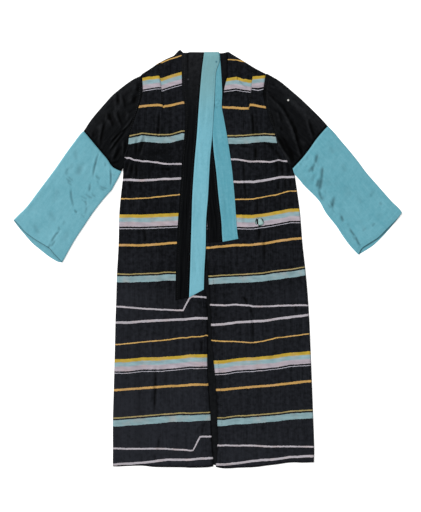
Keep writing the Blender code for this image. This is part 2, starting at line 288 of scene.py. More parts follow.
def rounded(distance, radius):
    """0 at no distance, 1 from the radius onwards, round as a folded edge is."""
    return np.sqrt(1 - (1 - np.clip(distance / radius, 0, 1)) ** 2)


def between(grid, i, j, s, t):
    """A grid's value between four of its knots."""
    upper = grid[i, j] * (1 - s) + grid[i + 1, j] * s
    lower = grid[i, j + 1] * (1 - s) + grid[i + 1, j + 1] * s
    return upper * (1 - t) + lower * t


def swelling(x, down, *swells, base=0):
    """Slow uneven swells added up, each from -1 to 1 of its height, or from 0 to 2 on a base of 1."""
    height = 0
    for swell in swells:
        knots = np.random.default_rng(swell.seed).uniform(-1, 1, (KNOTS, KNOTS))
        i, j = x / swell.across + FIRST_KNOT[0], down / swell.lengthwise + FIRST_KNOT[1]
        i0, j0 = (np.floor(knot).astype(int) % (KNOTS - 1) for knot in (i, j))
        height = height + swell.height * (base + between(knots, i0, j0, ramp(i % 1, 1), ramp(j % 1, 1)))
    return height


def cloth_object(name, x, down, z, weft, warp, material, ring=False, values=()):
    """A cloth through a grid of places, its weft and warp kept as a map, its face outwards."""
    columns, rows = x.shape
    points = np.stack([x, LENGTH / 2 - down, z], axis=-1).reshape(-1, 3) * MM
    index = np.arange(columns * rows).reshape(columns, rows)
    if ring:
        index = np.concatenate([index, index[:1]])
    span = index.shape[0]
    places = np.arange(span * rows).reshape(span, rows)
    turned = index[:-1, :-1], index[:-1, 1:], index[1:, 1:], index[1:, :-1]
    spots = places[:-1, :-1], places[:-1, 1:], places[1:, 1:], places[1:, :-1]
    faces, spots = (np.stack(corner, axis=-1).reshape(-1, 4) for corner in (turned, spots))
    a, b, c = (points[faces[: len(faces) // 2, k]] for k in (0, 1, 2))
    if np.cross(b - a, c - a)[:, 2].sum() < 0:
        faces, spots = faces[:, ::-1], spots[:, ::-1]
    mesh = plain_mesh(name, points, faces.tolist())
    cloth_map = mesh.uv_layers.new(name="cloth")
    both = np.stack([weft, warp], axis=-1).reshape(-1, 2) * MM
    cloth_map.data.foreach_set("uv", both[spots.ravel()].astype(np.float32).ravel())
    for label, numbers in dict(values).items():
        layer = mesh.attributes.new(label, "FLOAT", "POINT")
        layer.data.foreach_set("value", numbers.astype(np.float32).ravel())
    mesh.shade_smooth()
    mesh.materials.append(material)
    piece = bpy.data.objects.new(name, mesh)
    bpy.context.scene.collection.objects.link(piece)
    return piece


def add_wall(piece, thickness):
    """The cloth's thickness, inwards from its face."""
    wall = piece.modifiers.new("wall", "SOLIDIFY")
    wall.thickness = thickness * MM
    wall.offset = -1
    return wall


def combined(tree, operation, *values):
    """Numbers put together by one operation, such as ADD or MULTIPLY_ADD."""
    return node(tree, "ShaderNodeMath", dict(enumerate(values)), operation=operation).outputs[0]


def rescaled(tree, value, source, target):
    """A value that runs over the source's range, made to run over the target's."""
    ranges = {1: source[0], 2: source[1], 3: target[0], 4: target[1]}
    return node(tree, "ShaderNodeMapRange", {0: value, **ranges}).outputs[0]


def cloudy(tree, place, scale, detail, roughness=0.5):
    """Uneven clouds over the cloth, mostly within the range CLOUDS."""
    noise = {"Vector": place, "Scale": scale, "Detail": detail, "Roughness": roughness}
    return node(tree, "ShaderNodeTexNoise", noise).outputs["Fac"]


def streaked(tree, place, scales, detail):
    """Clouds drawn out into streaks, by unlike scales across and along the cloth."""
    drawn = node(tree, "ShaderNodeMapping", {"Vector": place, "Scale": scales})
    return cloudy(tree, drawn.outputs[0], 1.0, detail)


def carried(tree, label):
    """A number that the cloth carries at each of its points."""
    return node(tree, "ShaderNodeAttribute", attribute_name=label).outputs["Fac"]


def with_painted_shade(tree, colour, dark):
    """The colour darkened towards DEEP_SHADE by the painted shade each point carries, in creases and by seams
    and edges.
    """
    return mixed(tree, combined(tree, "MULTIPLY", carried(tree, "painted_shade"), dark), colour, DEEP_SHADE)


def marked(tree, colour, place, radius, tint):
    """The colour with one small round mark on it, at a place across and down."""
    spot = node(tree, "ShaderNodeTexCoord").outputs["Object"]
    flat = node(tree, "ShaderNodeVectorMath", {0: spot, 1: (1, 1, 0)}, operation="MULTIPLY")
    middle = (place[0] * MM, (LENGTH / 2 - place[1]) * MM, 0)
    away = node(tree, "ShaderNodeVectorMath", {0: flat.outputs[0], 1: middle}, operation="DISTANCE")
    reach = (MARK_CORE * radius * MM, MARK_RIM * radius * MM)
    return mixed(tree, rescaled(tree, away.outputs["Value"], reach, (1.0, 0.0)), colour, tint)


def silk_weave(tree, shader, coarse, strength):
    """Warp and weft threads with their slubs, as bump; gives the streaks of wear and of gloss too."""
    place = node(tree, "ShaderNodeUVMap", uv_map="cloth").outputs[0]
    threads = []
    for turn, pitch in ((0.0, WARP_PITCH), (np.pi / 2, WEFT_PITCH)):
        turned = node(tree, "ShaderNodeMapping", {"Vector": place, "Rotation": (0, 0, turn)})
        bands = {"Vector": turned.outputs[0], "Scale": WAVE_BAND / pitch, "Distortion": WAVER, "Detail": 1.0}
        thread = node(tree, "ShaderNodeTexWave", bands, wave_type="BANDS", bands_direction="X")
        threads.append(thread.outputs["Fac"])
    warp_streak, weft_streak = (streaked(tree, place, slub, 2.0) for slub in (WARP_SLUB, WEFT_SLUB))
    slubs = combined(tree, "ADD", warp_streak, weft_streak)
    fine = combined(tree, "MULTIPLY_ADD", combined(tree, "MULTIPLY", *threads), WEAVE_RELIEF, slubs)
    relief = combined(tree, "MULTIPLY_ADD", cloudy(tree, place, coarse, 4.0), CRUMPLE_RELIEF, fine)
    raised = {"Height": relief, "Strength": strength, "Distance": RELIEF_DEPTH}
    tree.links.new(node(tree, "ShaderNodeBump", raised).outputs[0], shader.inputs["Normal"])
    worn = combined(tree, "ADD", streaked(tree, place, BROAD_STREAK, 3.0), warp_streak)
    return place, rescaled(tree, worn, WORN_RANGE, (0.0, 1.0)), weft_streak


def finish_silk(tree, shader, colour, streak, gloss, specular, sheen, sheen_roughness=0.5):
    """The silk's colour and its gloss, which varies along the streaks of its weft."""
    tree.links.new(colour, shader.inputs["Base Color"])
    tree.links.new(rescaled(tree, streak, CLOUDS, gloss), shader.inputs["Roughness"])
    shader.inputs["Specular IOR Level"].default_value = specular
    shader.inputs["Sheen Weight"].default_value = sheen
    shader.inputs["Sheen Roughness"].default_value = sheen_roughness


# The stripes' repeat, in millimetres down the cloth, with the colours of the dyed yarn.
REPEAT = 426.0
Yarn = namedtuple("Yarn", "start end colour")
YELLOW = (0.443, 0.301, 0.038)
SKY = (0.209, 0.320, 0.346)
PALE_SKY = (0.236, 0.358, 0.392)
LILAC = (0.378, 0.334, 0.375)
GREY_LILAC = (0.440, 0.430, 0.485)
ORANGE = (0.465, 0.277, 0.086)
LOW_ORANGE = (0.535, 0.330, 0.098)
GOLD = (0.320, 0.254, 0.098)
PALE_LILAC = (0.400, 0.374, 0.406)
YARNS = (
    Yarn(0, 9.0, YELLOW),
    Yarn(11, 21, PALE_SKY),
    Yarn(24, 36.8, LILAC),
    Yarn(40.2, 43.2, GREY_LILAC),
    Yarn(87.9, 94.1, ORANGE),
    Yarn(174.4, 177.4, GOLD),
    Yarn(181.8, 201, SKY),
    Yarn(262.1, 267.9, PALE_LILAC),
    Yarn(316.4, 323.6, PALE_LILAC),
    Yarn(369.9, 374.1, LOW_ORANGE),
)
COLOURED = (
    (0, 36.6), (40.4, 43.0), (87.9, 94.1), (174.4, 177.2), (182.0, 201), (262.1, 267.9), (316.4, 323.6),
    (369.9, 374.1),
)
INK_BLACK = (0.0036, 0.0040, 0.0049, 1)
WORN_BLACK = (0.0165, 0.0180, 0.0226, 1)
SOOT_BLACK = (0.0006, 0.0007, 0.0010, 1)
RUSTY_BLACK = (0.0049, 0.0055, 0.0062, 1)
FADED_BLACK = (0.0132, 0.0141, 0.0158, 1)
PEACH = (0.520, 0.330, 0.270, 1)
BLEED, WANDER = 3.2, 3.0
BLOTCH, BLOTCH_SHADE = (34.0, 120.0, 1.0), (0.80, 1.12)
BLUSH_RANGE, BLUSH = (0.50, 0.80), (0.0, 0.30)
STREAKS = 0.45
RUBBED_BARE = (-0.10, 0.65)
PATCHY_WEAR = (0.3, 1.7)
# How far painted shade in creases darkens the black ground and the dyed stripes.
GROUND_CREASE_SHADE = 0.95
DYED_CREASE_SHADE = 0.35
SPECK = ((243.6, 152.1), 2.7, (0.62, 0.61, 0.58, 1))
RUBBED = ((-56.4, 89.8), 2.6, (0.032, 0.033, 0.037, 1))


def set_stops(ramp_node, stops):
    """Fills a colour ramp with (position, colour) stops."""
    elements = ramp_node.color_ramp.elements
    while len(elements) < len(stops):
        elements.new(1.0)
    for element, (position, colour) in zip(elements, stops):
        element.position = position
        element.color = (*colour[:3], 1)


def striped_silk():
    """Black silk with dyed stripes, placed by the cloth's own stripe value."""
    material, tree, shader = empty_material("striped_silk")
    place, faded, weft_streak = silk_weave(tree, shader, coarse=55.0, strength=0.35)
    bleeding = cloudy(tree, place, scale=190.0, detail=3.0)
    wandering = cloudy(tree, place, scale=28.0, detail=1.0)
    uneven = combined(tree, "MULTIPLY_ADD", bleeding, BLEED, carried(tree, "stripe"))
    uneven = combined(tree, "MULTIPLY_ADD", wandering, WANDER, uneven)
    centred = combined(tree, "SUBTRACT", uneven, (BLEED + WANDER) / 2 - 2 * REPEAT)
    within = combined(tree, "FRACT", combined(tree, "DIVIDE", centred, REPEAT))
    dyed = node(tree, "ShaderNodeValToRGB", {"Fac": within})
    set_stops(dyed, [(edge / REPEAT, yarn.colour) for yarn in YARNS for edge in (yarn.start, yarn.end)])
    cover = node(tree, "ShaderNodeValToRGB", {"Fac": within})
    cover.color_ramp.interpolation = "CONSTANT"
    marks = []
    for start, end in COLOURED:
        marks += [(start / REPEAT, (1, 1, 1)), (end / REPEAT, (0, 0, 0))]
    set_stops(cover, marks)
    shade = rescaled(tree, streaked(tree, place, BLOTCH, detail=4.0), CLOUDS, BLOTCH_SHADE)
    shaded = {0: 1.0, 6: dyed.outputs[0], 7: shade}
    toned = node(tree, "ShaderNodeMix", shaded, data_type="RGBA", blend_type="MULTIPLY").outputs[2]
    blush = cloudy(tree, place, scale=22.0, detail=3.0, roughness=0.6)
    blush = rescaled(tree, blush, BLUSH_RANGE, BLUSH)
    # Painted shade in creases on the dyed stripes.
    toned = with_painted_shade(tree, mixed(tree, blush, toned, PEACH), DYED_CREASE_SHADE)
    ground = combined(tree, "MULTIPLY_ADD", faded, STREAKS, carried(tree, "fade"))
    rubbed = cloudy(tree, place, scale=85.0, detail=4.0, roughness=0.7)
    rubbed = rescaled(tree, rubbed, CLOUDS, RUBBED_BARE)
    ground = mixed(tree, combined(tree, "ADD", ground, rubbed), INK_BLACK, WORN_BLACK)
    # Painted shade in creases on the black ground.
    colour = mixed(tree, cover.outputs[0], with_painted_shade(tree, ground, GROUND_CREASE_SHADE), toned)
    finish_silk(tree, shader, colour, weft_streak, gloss=(0.38, 0.52), specular=0.015, sheen=0.008)
    return material


def black_silk():
    """Plain black silk: thin warp streaks, a white speck on a sleeve, a rubbed spot by the neck."""
    material, tree, shader = empty_material("black_silk")
    place, faded, weft_streak = silk_weave(tree, shader, coarse=60.0, strength=0.4)
    patchy = cloudy(tree, place, scale=80.0, detail=4.0, roughness=0.7)
    # The worn value also carries the painted highlight on the upper sleeves' ridges.
    worn = combined(tree, "MULTIPLY", carried(tree, "worn"), rescaled(tree, patchy, CLOUDS, PATCHY_WEAR))
    tone = mixed(tree, worn, mixed(tree, faded, SOOT_BLACK, RUSTY_BLACK), FADED_BLACK)
    spotted = marked(tree, marked(tree, tone, *SPECK), *RUBBED)
    # Painted shade in creases and by seams.
    colour = with_painted_shade(tree, spotted, GROUND_CREASE_SHADE)
    finish_silk(tree, shader, colour, weft_streak, gloss=(0.50, 0.64), specular=0.012, sheen=0.004)
    return material


def outer_line(side):
    """The edge that a body cloth is sewn along, from the shoulder down the armhole and the side."""
    rows = [(getattr(row, side), row.down) for row in (*ARMHOLES, *SIDES)]
    return smooth([*rows, HEM[side][0]])


STRIPED = striped_silk()
BLACK = black_silk()

# Where each stripe crosses a front, in millimetres down, at the named columns across it.
# A stripe's place is its upper edge for the bands and its middle for the thin lines.
StripeKind = namedtuple("StripeKind", "place before after")
KINDS = {
    "broad": StripeKind(0, 0, 43.6),
    "orange": StripeKind(91, -3.1, 3.1),
    "sky": StripeKind(182, -7.6, 19),
    "lilac": StripeKind(265, -2.9, 2.9),
    "low_lilac": StripeKind(320, -3.6, 3.6),
    "low_orange": StripeKind(372, -2.1, 2.1),
}
Stripe = namedtuple("Stripe", "kind repeat downs tall", defaults=(1.0,))
RIGHT_UPPER_AT = (-273, -231, -195, -147, -135, -111, -75)
RIGHT_UPPER = (
    Stripe("low_orange", 0, (44, 44, 44, 42.5, 38, 28, 17)),
    Stripe("broad", 1, (85, 85, 85.5, 79, 85.5, 77, 67), 0.93),
    Stripe("orange", 1, (177, 177, 169.5, 165.8, 170, 167.5, 159)),
    Stripe("sky", 1, (268, 265, 256.5, 261, 261, 261, 250.5)),
    Stripe("lilac", 1, (323.5, 325, 335.5, 338.5, 341.5, 343, 343)),
    Stripe("low_lilac", 1, (390, 390, 392, 388.5, 387.5, 387, 385.5)),
    Stripe("low_orange", 1, (447.5, 447.5, 446, 441.5, 440, 437, 434)),
    Stripe("broad", 2, (495, 495, 495.5, 493, 493, 492, 489)),
    Stripe("orange", 2, (586.5, 586.5, 586.5, 583.5, 582, 580.5, 579)),
    Stripe("sky", 2, (679.5, 679.5, 678, 676.5, 675, 673.5, 673.5)),
)
RIGHT_LOWER_AT = (-273, -231, -195, -147, -111, -72, -51, -42, -21, 12)
RIGHT_LOWER = (
    Stripe("lilac", 2, (770.5, 773.5, 776.5, 779.5, 781, 782.5, 742.5, 740, 742, 745)),
    Stripe("low_lilac", 2, (818, 818, 814.5, 812.3, 810.3, 808.7, 806.8, 806, 805.5, 805.5)),
    Stripe("low_orange", 2, (884, 881, 877, 873.3, 868.8, 864.2, 861.8, 861.4, 860, 858.5)),
    Stripe("broad", 3, (929.5, 928, 923.5, 923.5, 920.5, 917.5, 914.5, 914.5, 914.5, 914.5)),
    Stripe("orange", 3, (1021, 1018, 1015.5, 1012.5, 1009, 1007.5, 1005.5, 1005, 1005, 1005)),
    Stripe("sky", 3, (1111.5, 1108.5, 1105.5, 1101.5, 1098.5, 1096.5, 1096.5, 1096, 1095, 1093.5)),
    Stripe("lilac", 3, (1196.5, 1198, 1198, 1196.5, 1198.5, 1200.5, 1202.5, 1202.5, 1160.5, 1160.5)),
    Stripe("low_lilac", 3, (1244.5, 1241, 1239, 1233, 1229.5, 1229.5, 1229, 1228, 1226.5, 1225)),
)
LEFT_AT = (9, 51, 87, 126, 138, 171, 207, 249, 303)
LEFT = (
    Stripe("low_orange", 0, (27, 28, 30.5, 38.5, 41.5, 51.5, 60.5, 72.5, 90.5)),
    Stripe("broad", 1, (90, 88, 81.5, 91, 80.5, 77.5, 77.5, 77.5, 77.5), 0.93),
    Stripe("orange", 1, (169.5, 172.5, 175, 177.5, 166, 172, 175.5, 180, 186)),
    Stripe("sky", 1, (262, 263, 264.5, 262.5, 260.5, 258, 261, 261, 261)),
    Stripe("lilac", 1, (328, 328, 329, 335.5, 335.5, 335.5, 334, 335.5, 335.5)),
    Stripe("low_lilac", 1, (396, 396, 396, 396, 396, 391.5, 385.5, 381, 381)),
    Stripe("low_orange", 1, (449, 449, 449, 449, 448, 441.5, 435.5, 423.5, 423.5)),
    Stripe("broad", 2, (495.5, 495.5, 495.5, 496, 496, 492, 486, 477.5, 476.5)),
    Stripe("orange", 2, (594, 589.5, 586.5, 586, 585, 581.5, 574.5, 569, 564)),
    Stripe("sky", 2, (685.5, 682.5, 681, 679, 678, 675.5, 670.3, 665, 656.8)),
    Stripe("lilac", 2, (766, 767.5, 764.5, 767.5, 770.5, 770.5, 769, 767.5, 767.5)),
    Stripe("low_lilac", 2, (825, 823, 817.5, 815, 814.5, 813, 807, 802, 795)),
    Stripe("low_orange", 2, (872, 874, 875, 879, 879, 873.5, 864.5, 859.5, 852.5)),
    Stripe("broad", 3, (934, 932.5, 926.5, 923.5, 923.5, 920.5, 916.5, 909.5, 905.5)),
    Stripe("orange", 3, (1021.5, 1020, 1016, 1012.5, 1011, 1009.5, 1005.5, 1001, 994.5)),
    Stripe("sky", 3, (1111.5, 1110, 1105.5, 1104, 1102.5, 1099.5, 1096.5, 1091, 1087.5)),
    Stripe("lilac", 3, (1187.5, 1187.5, 1187.5, 1187.5, 1187.5, 1190.5, 1190.5, 1190.5, 1192)),
    Stripe("low_lilac", 3, (1244.5, 1244, 1240.5, 1235, 1233.5, 1230.5, 1228, 1221.5, 1218.5)),
)
STRIPE_TABLES = {
    "right": ((RIGHT_UPPER_AT, RIGHT_UPPER), (RIGHT_LOWER_AT, RIGHT_LOWER)),
    "left": ((LEFT_AT, LEFT),),
}
# Each front's stitched tuck runs down from the shoulder, and the stripes don't meet across it.
TUCK = {
    "right": ((-146, 37), (-142, 77), (-132.5, 168), (-135, 200), (-141, 237), (-141, 320)),
    "left": ((138, 40), (137, 80), (126, 178), (133, 200), (137, 240), (137, 320)),
}
TUCK_END = 200
# Where a crease or a stitch has pulled a stripe a little down, or up, beside its run.
Pull = namedtuple("Pull", "x down reach shift")
PULL_HEIGHT = 13.0
PULLS = {
    "right": (
        Pull(-219, 328, 9, 3.0), Pull(-177, 338, 12, -1.8), Pull(-177, 84, 12, -2.0), Pull(-135, 170, 9, 2.0),
        Pull(-258, 1245, 20, -1.5), Pull(-60, 868, 7, 1.5), Pull(-3, 858, 6, -2.5), Pull(-21, 1162, 5, 1.5),
    ),
    "left": (
        Pull(123, 128, 13, -2.2), Pull(108, 84, 6, 2.4), Pull(123, 177, 8, -1.2), Pull(123, 262, 9, -0.8),
        Pull(189, 336, 12, 2.2), Pull(216, 334, 8, -3.2), Pull(222, 384, 14, -2.6), Pull(156, 126, 16, 4.0),
    ),
}
TUCK_COLUMNS = {"right": (-147, -135), "left": (126, 138)}


def tuck_across(side, down):
    line = np.array(TUCK[side], float)
    return np.interp(down, line[:, 1], line[:, 0])


def stripe_value(side, x, down):
    """How far down the dyed repeat each place of a front lies."""
    for pull in PULLS[side]:
        near = np.exp(-((x - pull.x) / pull.reach) ** 2 - ((down - pull.down) / PULL_HEIGHT) ** 2)
        down = down - pull.shift * near
    low, high = TUCK_COLUMNS[side]
    beside = np.where(x < tuck_across(side, down), np.minimum(x, low), np.maximum(x, high))
    knots = []
    for columns, stripes in STRIPE_TABLES[side]:
        for stripe in stripes:
            kind = KINDS[stripe.kind]
            across = beside if stripe.downs[0] < TUCK_END else x
            here = np.interp(across, columns, stripe.downs)
            lean = np.interp(across + 1, columns, stripe.downs) - np.interp(across - 1, columns, stripe.downs)
            lean = 1 if stripe.kind in ("broad", "sky") else np.sqrt(1 + (lean / 2) ** 2)
            value = kind.place + REPEAT * stripe.repeat
            knots.append((here + kind.before * lean, value + kind.before))
            knots.append((here + kind.after * lean * stripe.tall, value + kind.after))
    result = knots[0][1] - (knots[0][0] - down)
    for (start, low_value), (end, high_value) in zip(knots, knots[1:]):
        share = (down - start) / np.maximum(end - start, 0.5)
        result = np.where(down >= start, low_value + (high_value - low_value) * np.minimum(share, 1), result)
    return np.where(down > knots[-1][0], knots[-1][1] + down - knots[-1][0], result)


def add_back():
    right, left = outer_line("right") + (BACK_INSET, 0), outer_line("left") - (BACK_INSET, 0)
    top = [*SHOULDER["right"][:-2], *BACK_NECK, *SHOULDER["left"][-2::-1]]
    top = np.array(top, float) + (0, BACK_INSET)
    hem = np.array([*HEM["right"], *HEM["left"][::-1]], float) - (0, BACK_INSET)
    right[0], left[0], right[-1], left[-1] = top[0], top[-1], hem[0], hem[-1]
    u, v = np.meshgrid(*(spaced(span, BACK_STEP) for span in BACK_SPAN), indexing="ij")
    x, down = patch(right, left, top, hem, u, v)
    z = BACK_HEIGHT + swelling(x, down, BACK_SWELL) * ramp(np.minimum(u, 1 - u), BACK_FLAT_EDGE)
    to_left = np.clip((x - STRIPES_BLEND[0]) / (STRIPES_BLEND[1] - STRIPES_BLEND[0]), 0, 1)
    stripe = stripe_value("right", np.minimum(x, -STRIPES_KNOWN_FROM), down) * (1 - to_left)
    stripe = stripe + stripe_value("left", np.maximum(x, STRIPES_KNOWN_FROM), down) * to_left
    values = {"stripe": stripe, "worn": np.full(x.shape, BACK_WEAR)}
    back = cloth_object("back_cloth", x, down, z, x, down, BLACK, values=values)
    back.data.materials.append(STRIPED)
    wall = add_wall(back, SILK_WALL)
    wall.material_offset = wall.material_offset_rim = 1
    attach(back, "root")
    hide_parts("back")


add_back()

# The fronts, one cloth a side of the same striped silk, coloured face up. Each is sewn to
# the back at the shoulder and down the side, has a stitched tuck from the shoulder, and its
# hem and front edge are turned under and stitched.
FRONT_STEP = 2.7
FRONT_SPAN = (250, 1200)
# How worn the black is down each front: it keeps its ink below 0 and is grey at 1.
Fade = namedtuple("Fade", "down right_side right_inner left_inner left_side")
FADING = (
    Fade(0, -0.15, -0.15, -0.15, -0.15), Fade(90, -0.25, -0.30, -0.35, -0.25),
    Fade(185, -0.25, -0.15, -0.20, -0.30), Fade(250, -0.40, -0.30, -0.15, -0.40),
    Fade(330, -0.55, -0.45, -0.25, -0.35), Fade(412, -0.30, -0.30, -0.25, -0.25),
    Fade(520, -0.25, -0.40, -0.30, -0.20), Fade(628, -0.05, -0.35, -0.15, -0.20),
    Fade(682, -0.15, -0.50, -0.30, -0.25), Fade(736, 0.35, -0.15, -0.10, 0.00),
    Fade(844, 0.10, 0.00, -0.05, -0.05), Fade(1006, 0.35, 0.25, 0.10, 0.00),
    Fade(1114, 0.50, 0.30, 0.05, 0.05), Fade(1222, 0.35, 0.30, 0.30, 0.10),
)
FLAT_TOP = 4.0
LOWEST_TOP = 2.1
SIDE_START, SIDE_ROUND = 0.9, 6.0
ARMHOLE_START, ARMHOLE_ROUND = 3.1, 5.0
FREE_START, FREE_FALL = 2.2, 14.0
TURNED, TURNED_RISE, STEP_WIDTH = 12.0, 0.45, 1.6
TUCK_RISE, TUCK_SPREAD, TUCK_FOLD, TUCK_LINE = 1.2, 16.0, 2.2, 2.4
TUCK_FROM, TUCK_UNTIL, TUCK_FADES = 30, 175, (20, 60)
FRONT_SWELLS = (Swell(0.5, 30, 70, 21), Swell(0.28, 13, 28, 22))
FRONT_PUCKER, FRONT_PUCKER_WIDTH = Swell(0.25, 5, 40, 23), 26
SOFT_FROM, PUCKER_FROM, SHADE_FROM, TURN_FROM = 12, 3, 6, 2
SEAM_SHADE_FROM, SEAM_SHADE_WIDTH = 0.5, 4.0
TUCK_STITCH, TUCK_STITCH_STEP = 1.2, 3.0
TUCK_STITCHES_FROM, TUCK_STITCHES_PAST = 6, 8
EDGE_STITCHES_PAST, FIRST_HEM_STITCH = 4, 3
# Painted shade along the tuck, the outer edges and the armhole seam.
TUCK_SHADE, EDGE_SHADE, ARMHOLE_SHADE = 0.6, 0.8, 0.6
SHOULDER_END, SHOULDER_FADE = 140, 50
FRONT_EDGE = {
    "right": (
        (-72, 9.5), (-72, 30), (-64, 60), (-62, 129), (-54, 174), (-59, 279), (-58, 352), (-50, 465),
        (-34, 573), (-16, 678), (-2, 742), (2, 805), (3, 856), (0.5, 931), (4.5, 1015), (10.5, 1102),
        (13.5, 1160), (18, 1225), (18.5, 1251),
    ),
    "left": (
        (56, 10), (55, 30), (44, 60), (40, 129), (36, 174), (27.5, 279), (18, 352), (4, 465),
        (-3.5, 573), (-4, 600), (-2.4, 629), (4.2, 682), (8.5, 763), (12, 820), (12.5, 871),
        (19.5, 931), (24, 973), (27, 1021), (31, 1111), (31, 1186), (27, 1240), (26, 1252.5),
    ),
}
EDGE_FRESH, EDGE_FRESH_WIDTH = 0.26, 42.0
FRESH_BELOW, FRESH_FADE = 600, 100
INNER_AT, INNER_FADE = 70, 170
# A crease runs between two places, bowed to one side. It is a ridge, or a trough if its height
# is below 0, and its painted shade tapers over a share of its length from each end. Each row of a table
# of creases is one crease.
RISE_SHARE, TAPER = 0.26, 0.34
# The trough depth at which a crease's painted shade is full.
FULL_SHADE_DEPTH = 1.9
FLANK_DIP, FLANK_AT, FLANK_WIDTH = 0.45, 1.9, 1.1
NARROW_END = 0.6
# How strong the painted shade is, a little uneven over the cloth.
PAINTED_SHADE_STRENGTH, PAINTED_SHADE_UNEVEN = 0.85, Swell(0.3, 9, 9, 24)
Crease = namedtuple("Crease", "x0 down0 x1 down1 height width bow")
FRONT_CREASES = {
    "right": (
        (-143, 182, -148, 266, -3.6, 3.2, -1.5), (-185, 262, -204, 324, -3.2, 4.8, 3),
        (-209, 264, -212.5, 324, -2.8, 3.8, 0), (-236, 268, -241, 328, -2.4, 2.8, 0),
        (-233, 334, -246, 372, -2.4, 4.5, 0), (-221, 338, -230, 390, -2.6, 4.4, 1),
        (-211, 338, -211, 392, -2.0, 2.8, 0), (-188, 250, -190, 282, -1.2, 4, 0),
        (-190, 302, -125, 287, 1.3, 7, 4), (-170, 306, -98, 282, 0.9, 5, 5),
        (-141, 349, -106, 350, 1.0, 5, 0), (-150, 358, -98, 359.5, -2.4, 3.6, 1),
        (-160, 340, -160, 362, -1.4, 4, 0), (-228, 394, -228, 430, -1.6, 4, 0),
        (-196, 396, -196, 430, -1.2, 3.2, 0), (-166, 396, -166, 434, -1.4, 4, 0),
        (-118, 400, -118, 434, -1.3, 4.5, 0), (-172, 296, -182, 430, 0.8, 9, 5),
        (-120, 210, -112, 330, 0.9, 9, -4), (-90, 120, -96, 250, 0.8, 9, 3),
        (-189, 532, -183, 582, -1.9, 3.8, 0), (-205, 440, -214, 640, 0.9, 11, 4),
        (-150, 430, -143, 560, 0.8, 10, -4), (-240, 520, -244, 700, 0.8, 10, 3),
        (-180, 680, -172, 840, 0.8, 11, -5), (-110, 640, -118, 790, 0.8, 11, 4),
        (-153, 944, -155.5, 1040, -2.7, 4.6, 0), (-155, 1000, -158, 1100, -2.1, 3.8, 0),
        (-163, 1030, -164, 1056, -0.9, 3.4, 0), (-143, 1158, -147, 1208, -1.5, 3.6, 0),
        (-159, 1208, -153, 1240, -1.2, 3.4, 0), (-228, 880, -222, 1060, 0.9, 12, -4),
        (-96, 930, -102, 1090, 0.8, 11, 4), (-17, 862, -15, 916, -1.8, 3.2, 0),
        (-39, 874, -38, 912, -1.4, 3.2, 0), (-6, 1116, -16, 1160, -1.8, 4, 1),
        (-20, 1122, -30, 1158, -0.8, 3, 0), (-248, 1060, -246, 1200, 0.8, 9, 3),
        (-200, 800, -203, 1270, -0.5, 16, 0), (-66, 1130, -70, 1235, 0.7, 9, 2),
    ),
    "left": (
        (138.5, 178, 142, 268, -3.4, 3.2, 2), (93, 86, 130, 120, -1.3, 2.0, 4),
        (93, 78, 92.5, 93, -1.8, 2.0, 0), (100, 84, 134, 114, 0.7, 4, 3),
        (88, 291, 142, 297, -1.6, 3.2, -3), (88, 302, 128, 306, 0.8, 5, 0),
        (170, 282, 192, 285, -1.6, 3.4, 0), (184, 276, 202, 310, -2.8, 4, -2),
        (202, 296, 224, 332, -2.2, 3.4, 0), (146, 284, 146, 338, -2.0, 5.5, 0),
        (110.5, 330, 110.5, 394, -2.2, 2.8, 0), (112, 386, 119, 448, -2.0, 2.8, 1),
        (147, 408, 148, 450, -1.0, 3, 0), (151, 446, 151, 494, -1.8, 2.8, 0),
        (111, 486, 111, 536, -0.8, 4, 0), (209, 322, 214, 386, -2.9, 4.0, 0),
        (224.5, 322, 229.5, 386, -3.6, 5.2, 0), (243.5, 324, 249, 384, -3.0, 4.2, 0),
        (214, 390, 214, 426, -1.8, 3.2, 0), (235, 380, 236, 430, -3.0, 4.0, 0),
        (250.5, 384, 251, 418, -2.0, 3.0, 0), (214, 448, 214, 482, -1.2, 3, 0),
        (223, 385, 218, 505, 1.0, 6, 3), (178, 360, 168, 510, 1.2, 8, -3),
        (158, 180, 176, 300, 0.9, 8, 4), (70, 190, 64, 330, 0.7, 9, -3),
        (159.5, 532, 155, 576, -2.0, 4, 0), (172, 552, 172, 656, -2.0, 4.2, 0),
        (106, 738, 124, 764, -1.8, 4, 0), (128, 772, 142, 808, -1.9, 4, 0),
        (137, 800, 138.5, 880, -2.6, 4, 0), (138, 862, 140, 900, -1.1, 4, 0),
        (268, 768, 268, 794, -1.2, 3.5, 0), (210, 600, 222, 780, 0.9, 11, 5),
        (268, 620, 276, 800, 0.8, 10, -4), (70, 560, 76, 720, 0.8, 10, 4),
        (60, 900, 54, 1060, 0.8, 11, -4), (180, 900, 188, 1080, 0.9, 12, 5),
        (250, 860, 258, 1040, 0.8, 12, -5), (120, 1000, 112, 1180, 0.8, 10, 4),
        (169, 1118, 169, 1148, -1.0, 3, 0), (220, 1080, 216, 1225, 0.7, 9, -3),
        (286, 1040, 290, 1200, 0.7, 9, 3),
    ),
}
COLLAR_MARGIN = 10
# The stretch of each front that lies flat under the collar: across, and down to where it ends.
UNDER_COLLAR = {
    "right": (((-84, 0), (-84, 120), (-76, 200), (-84, 342), (-96, 520), (-102, 760)), 756),
    "left": (((72, 0), (64, 60), (62, 240), (80, 342), (96, 590)), 584),
}


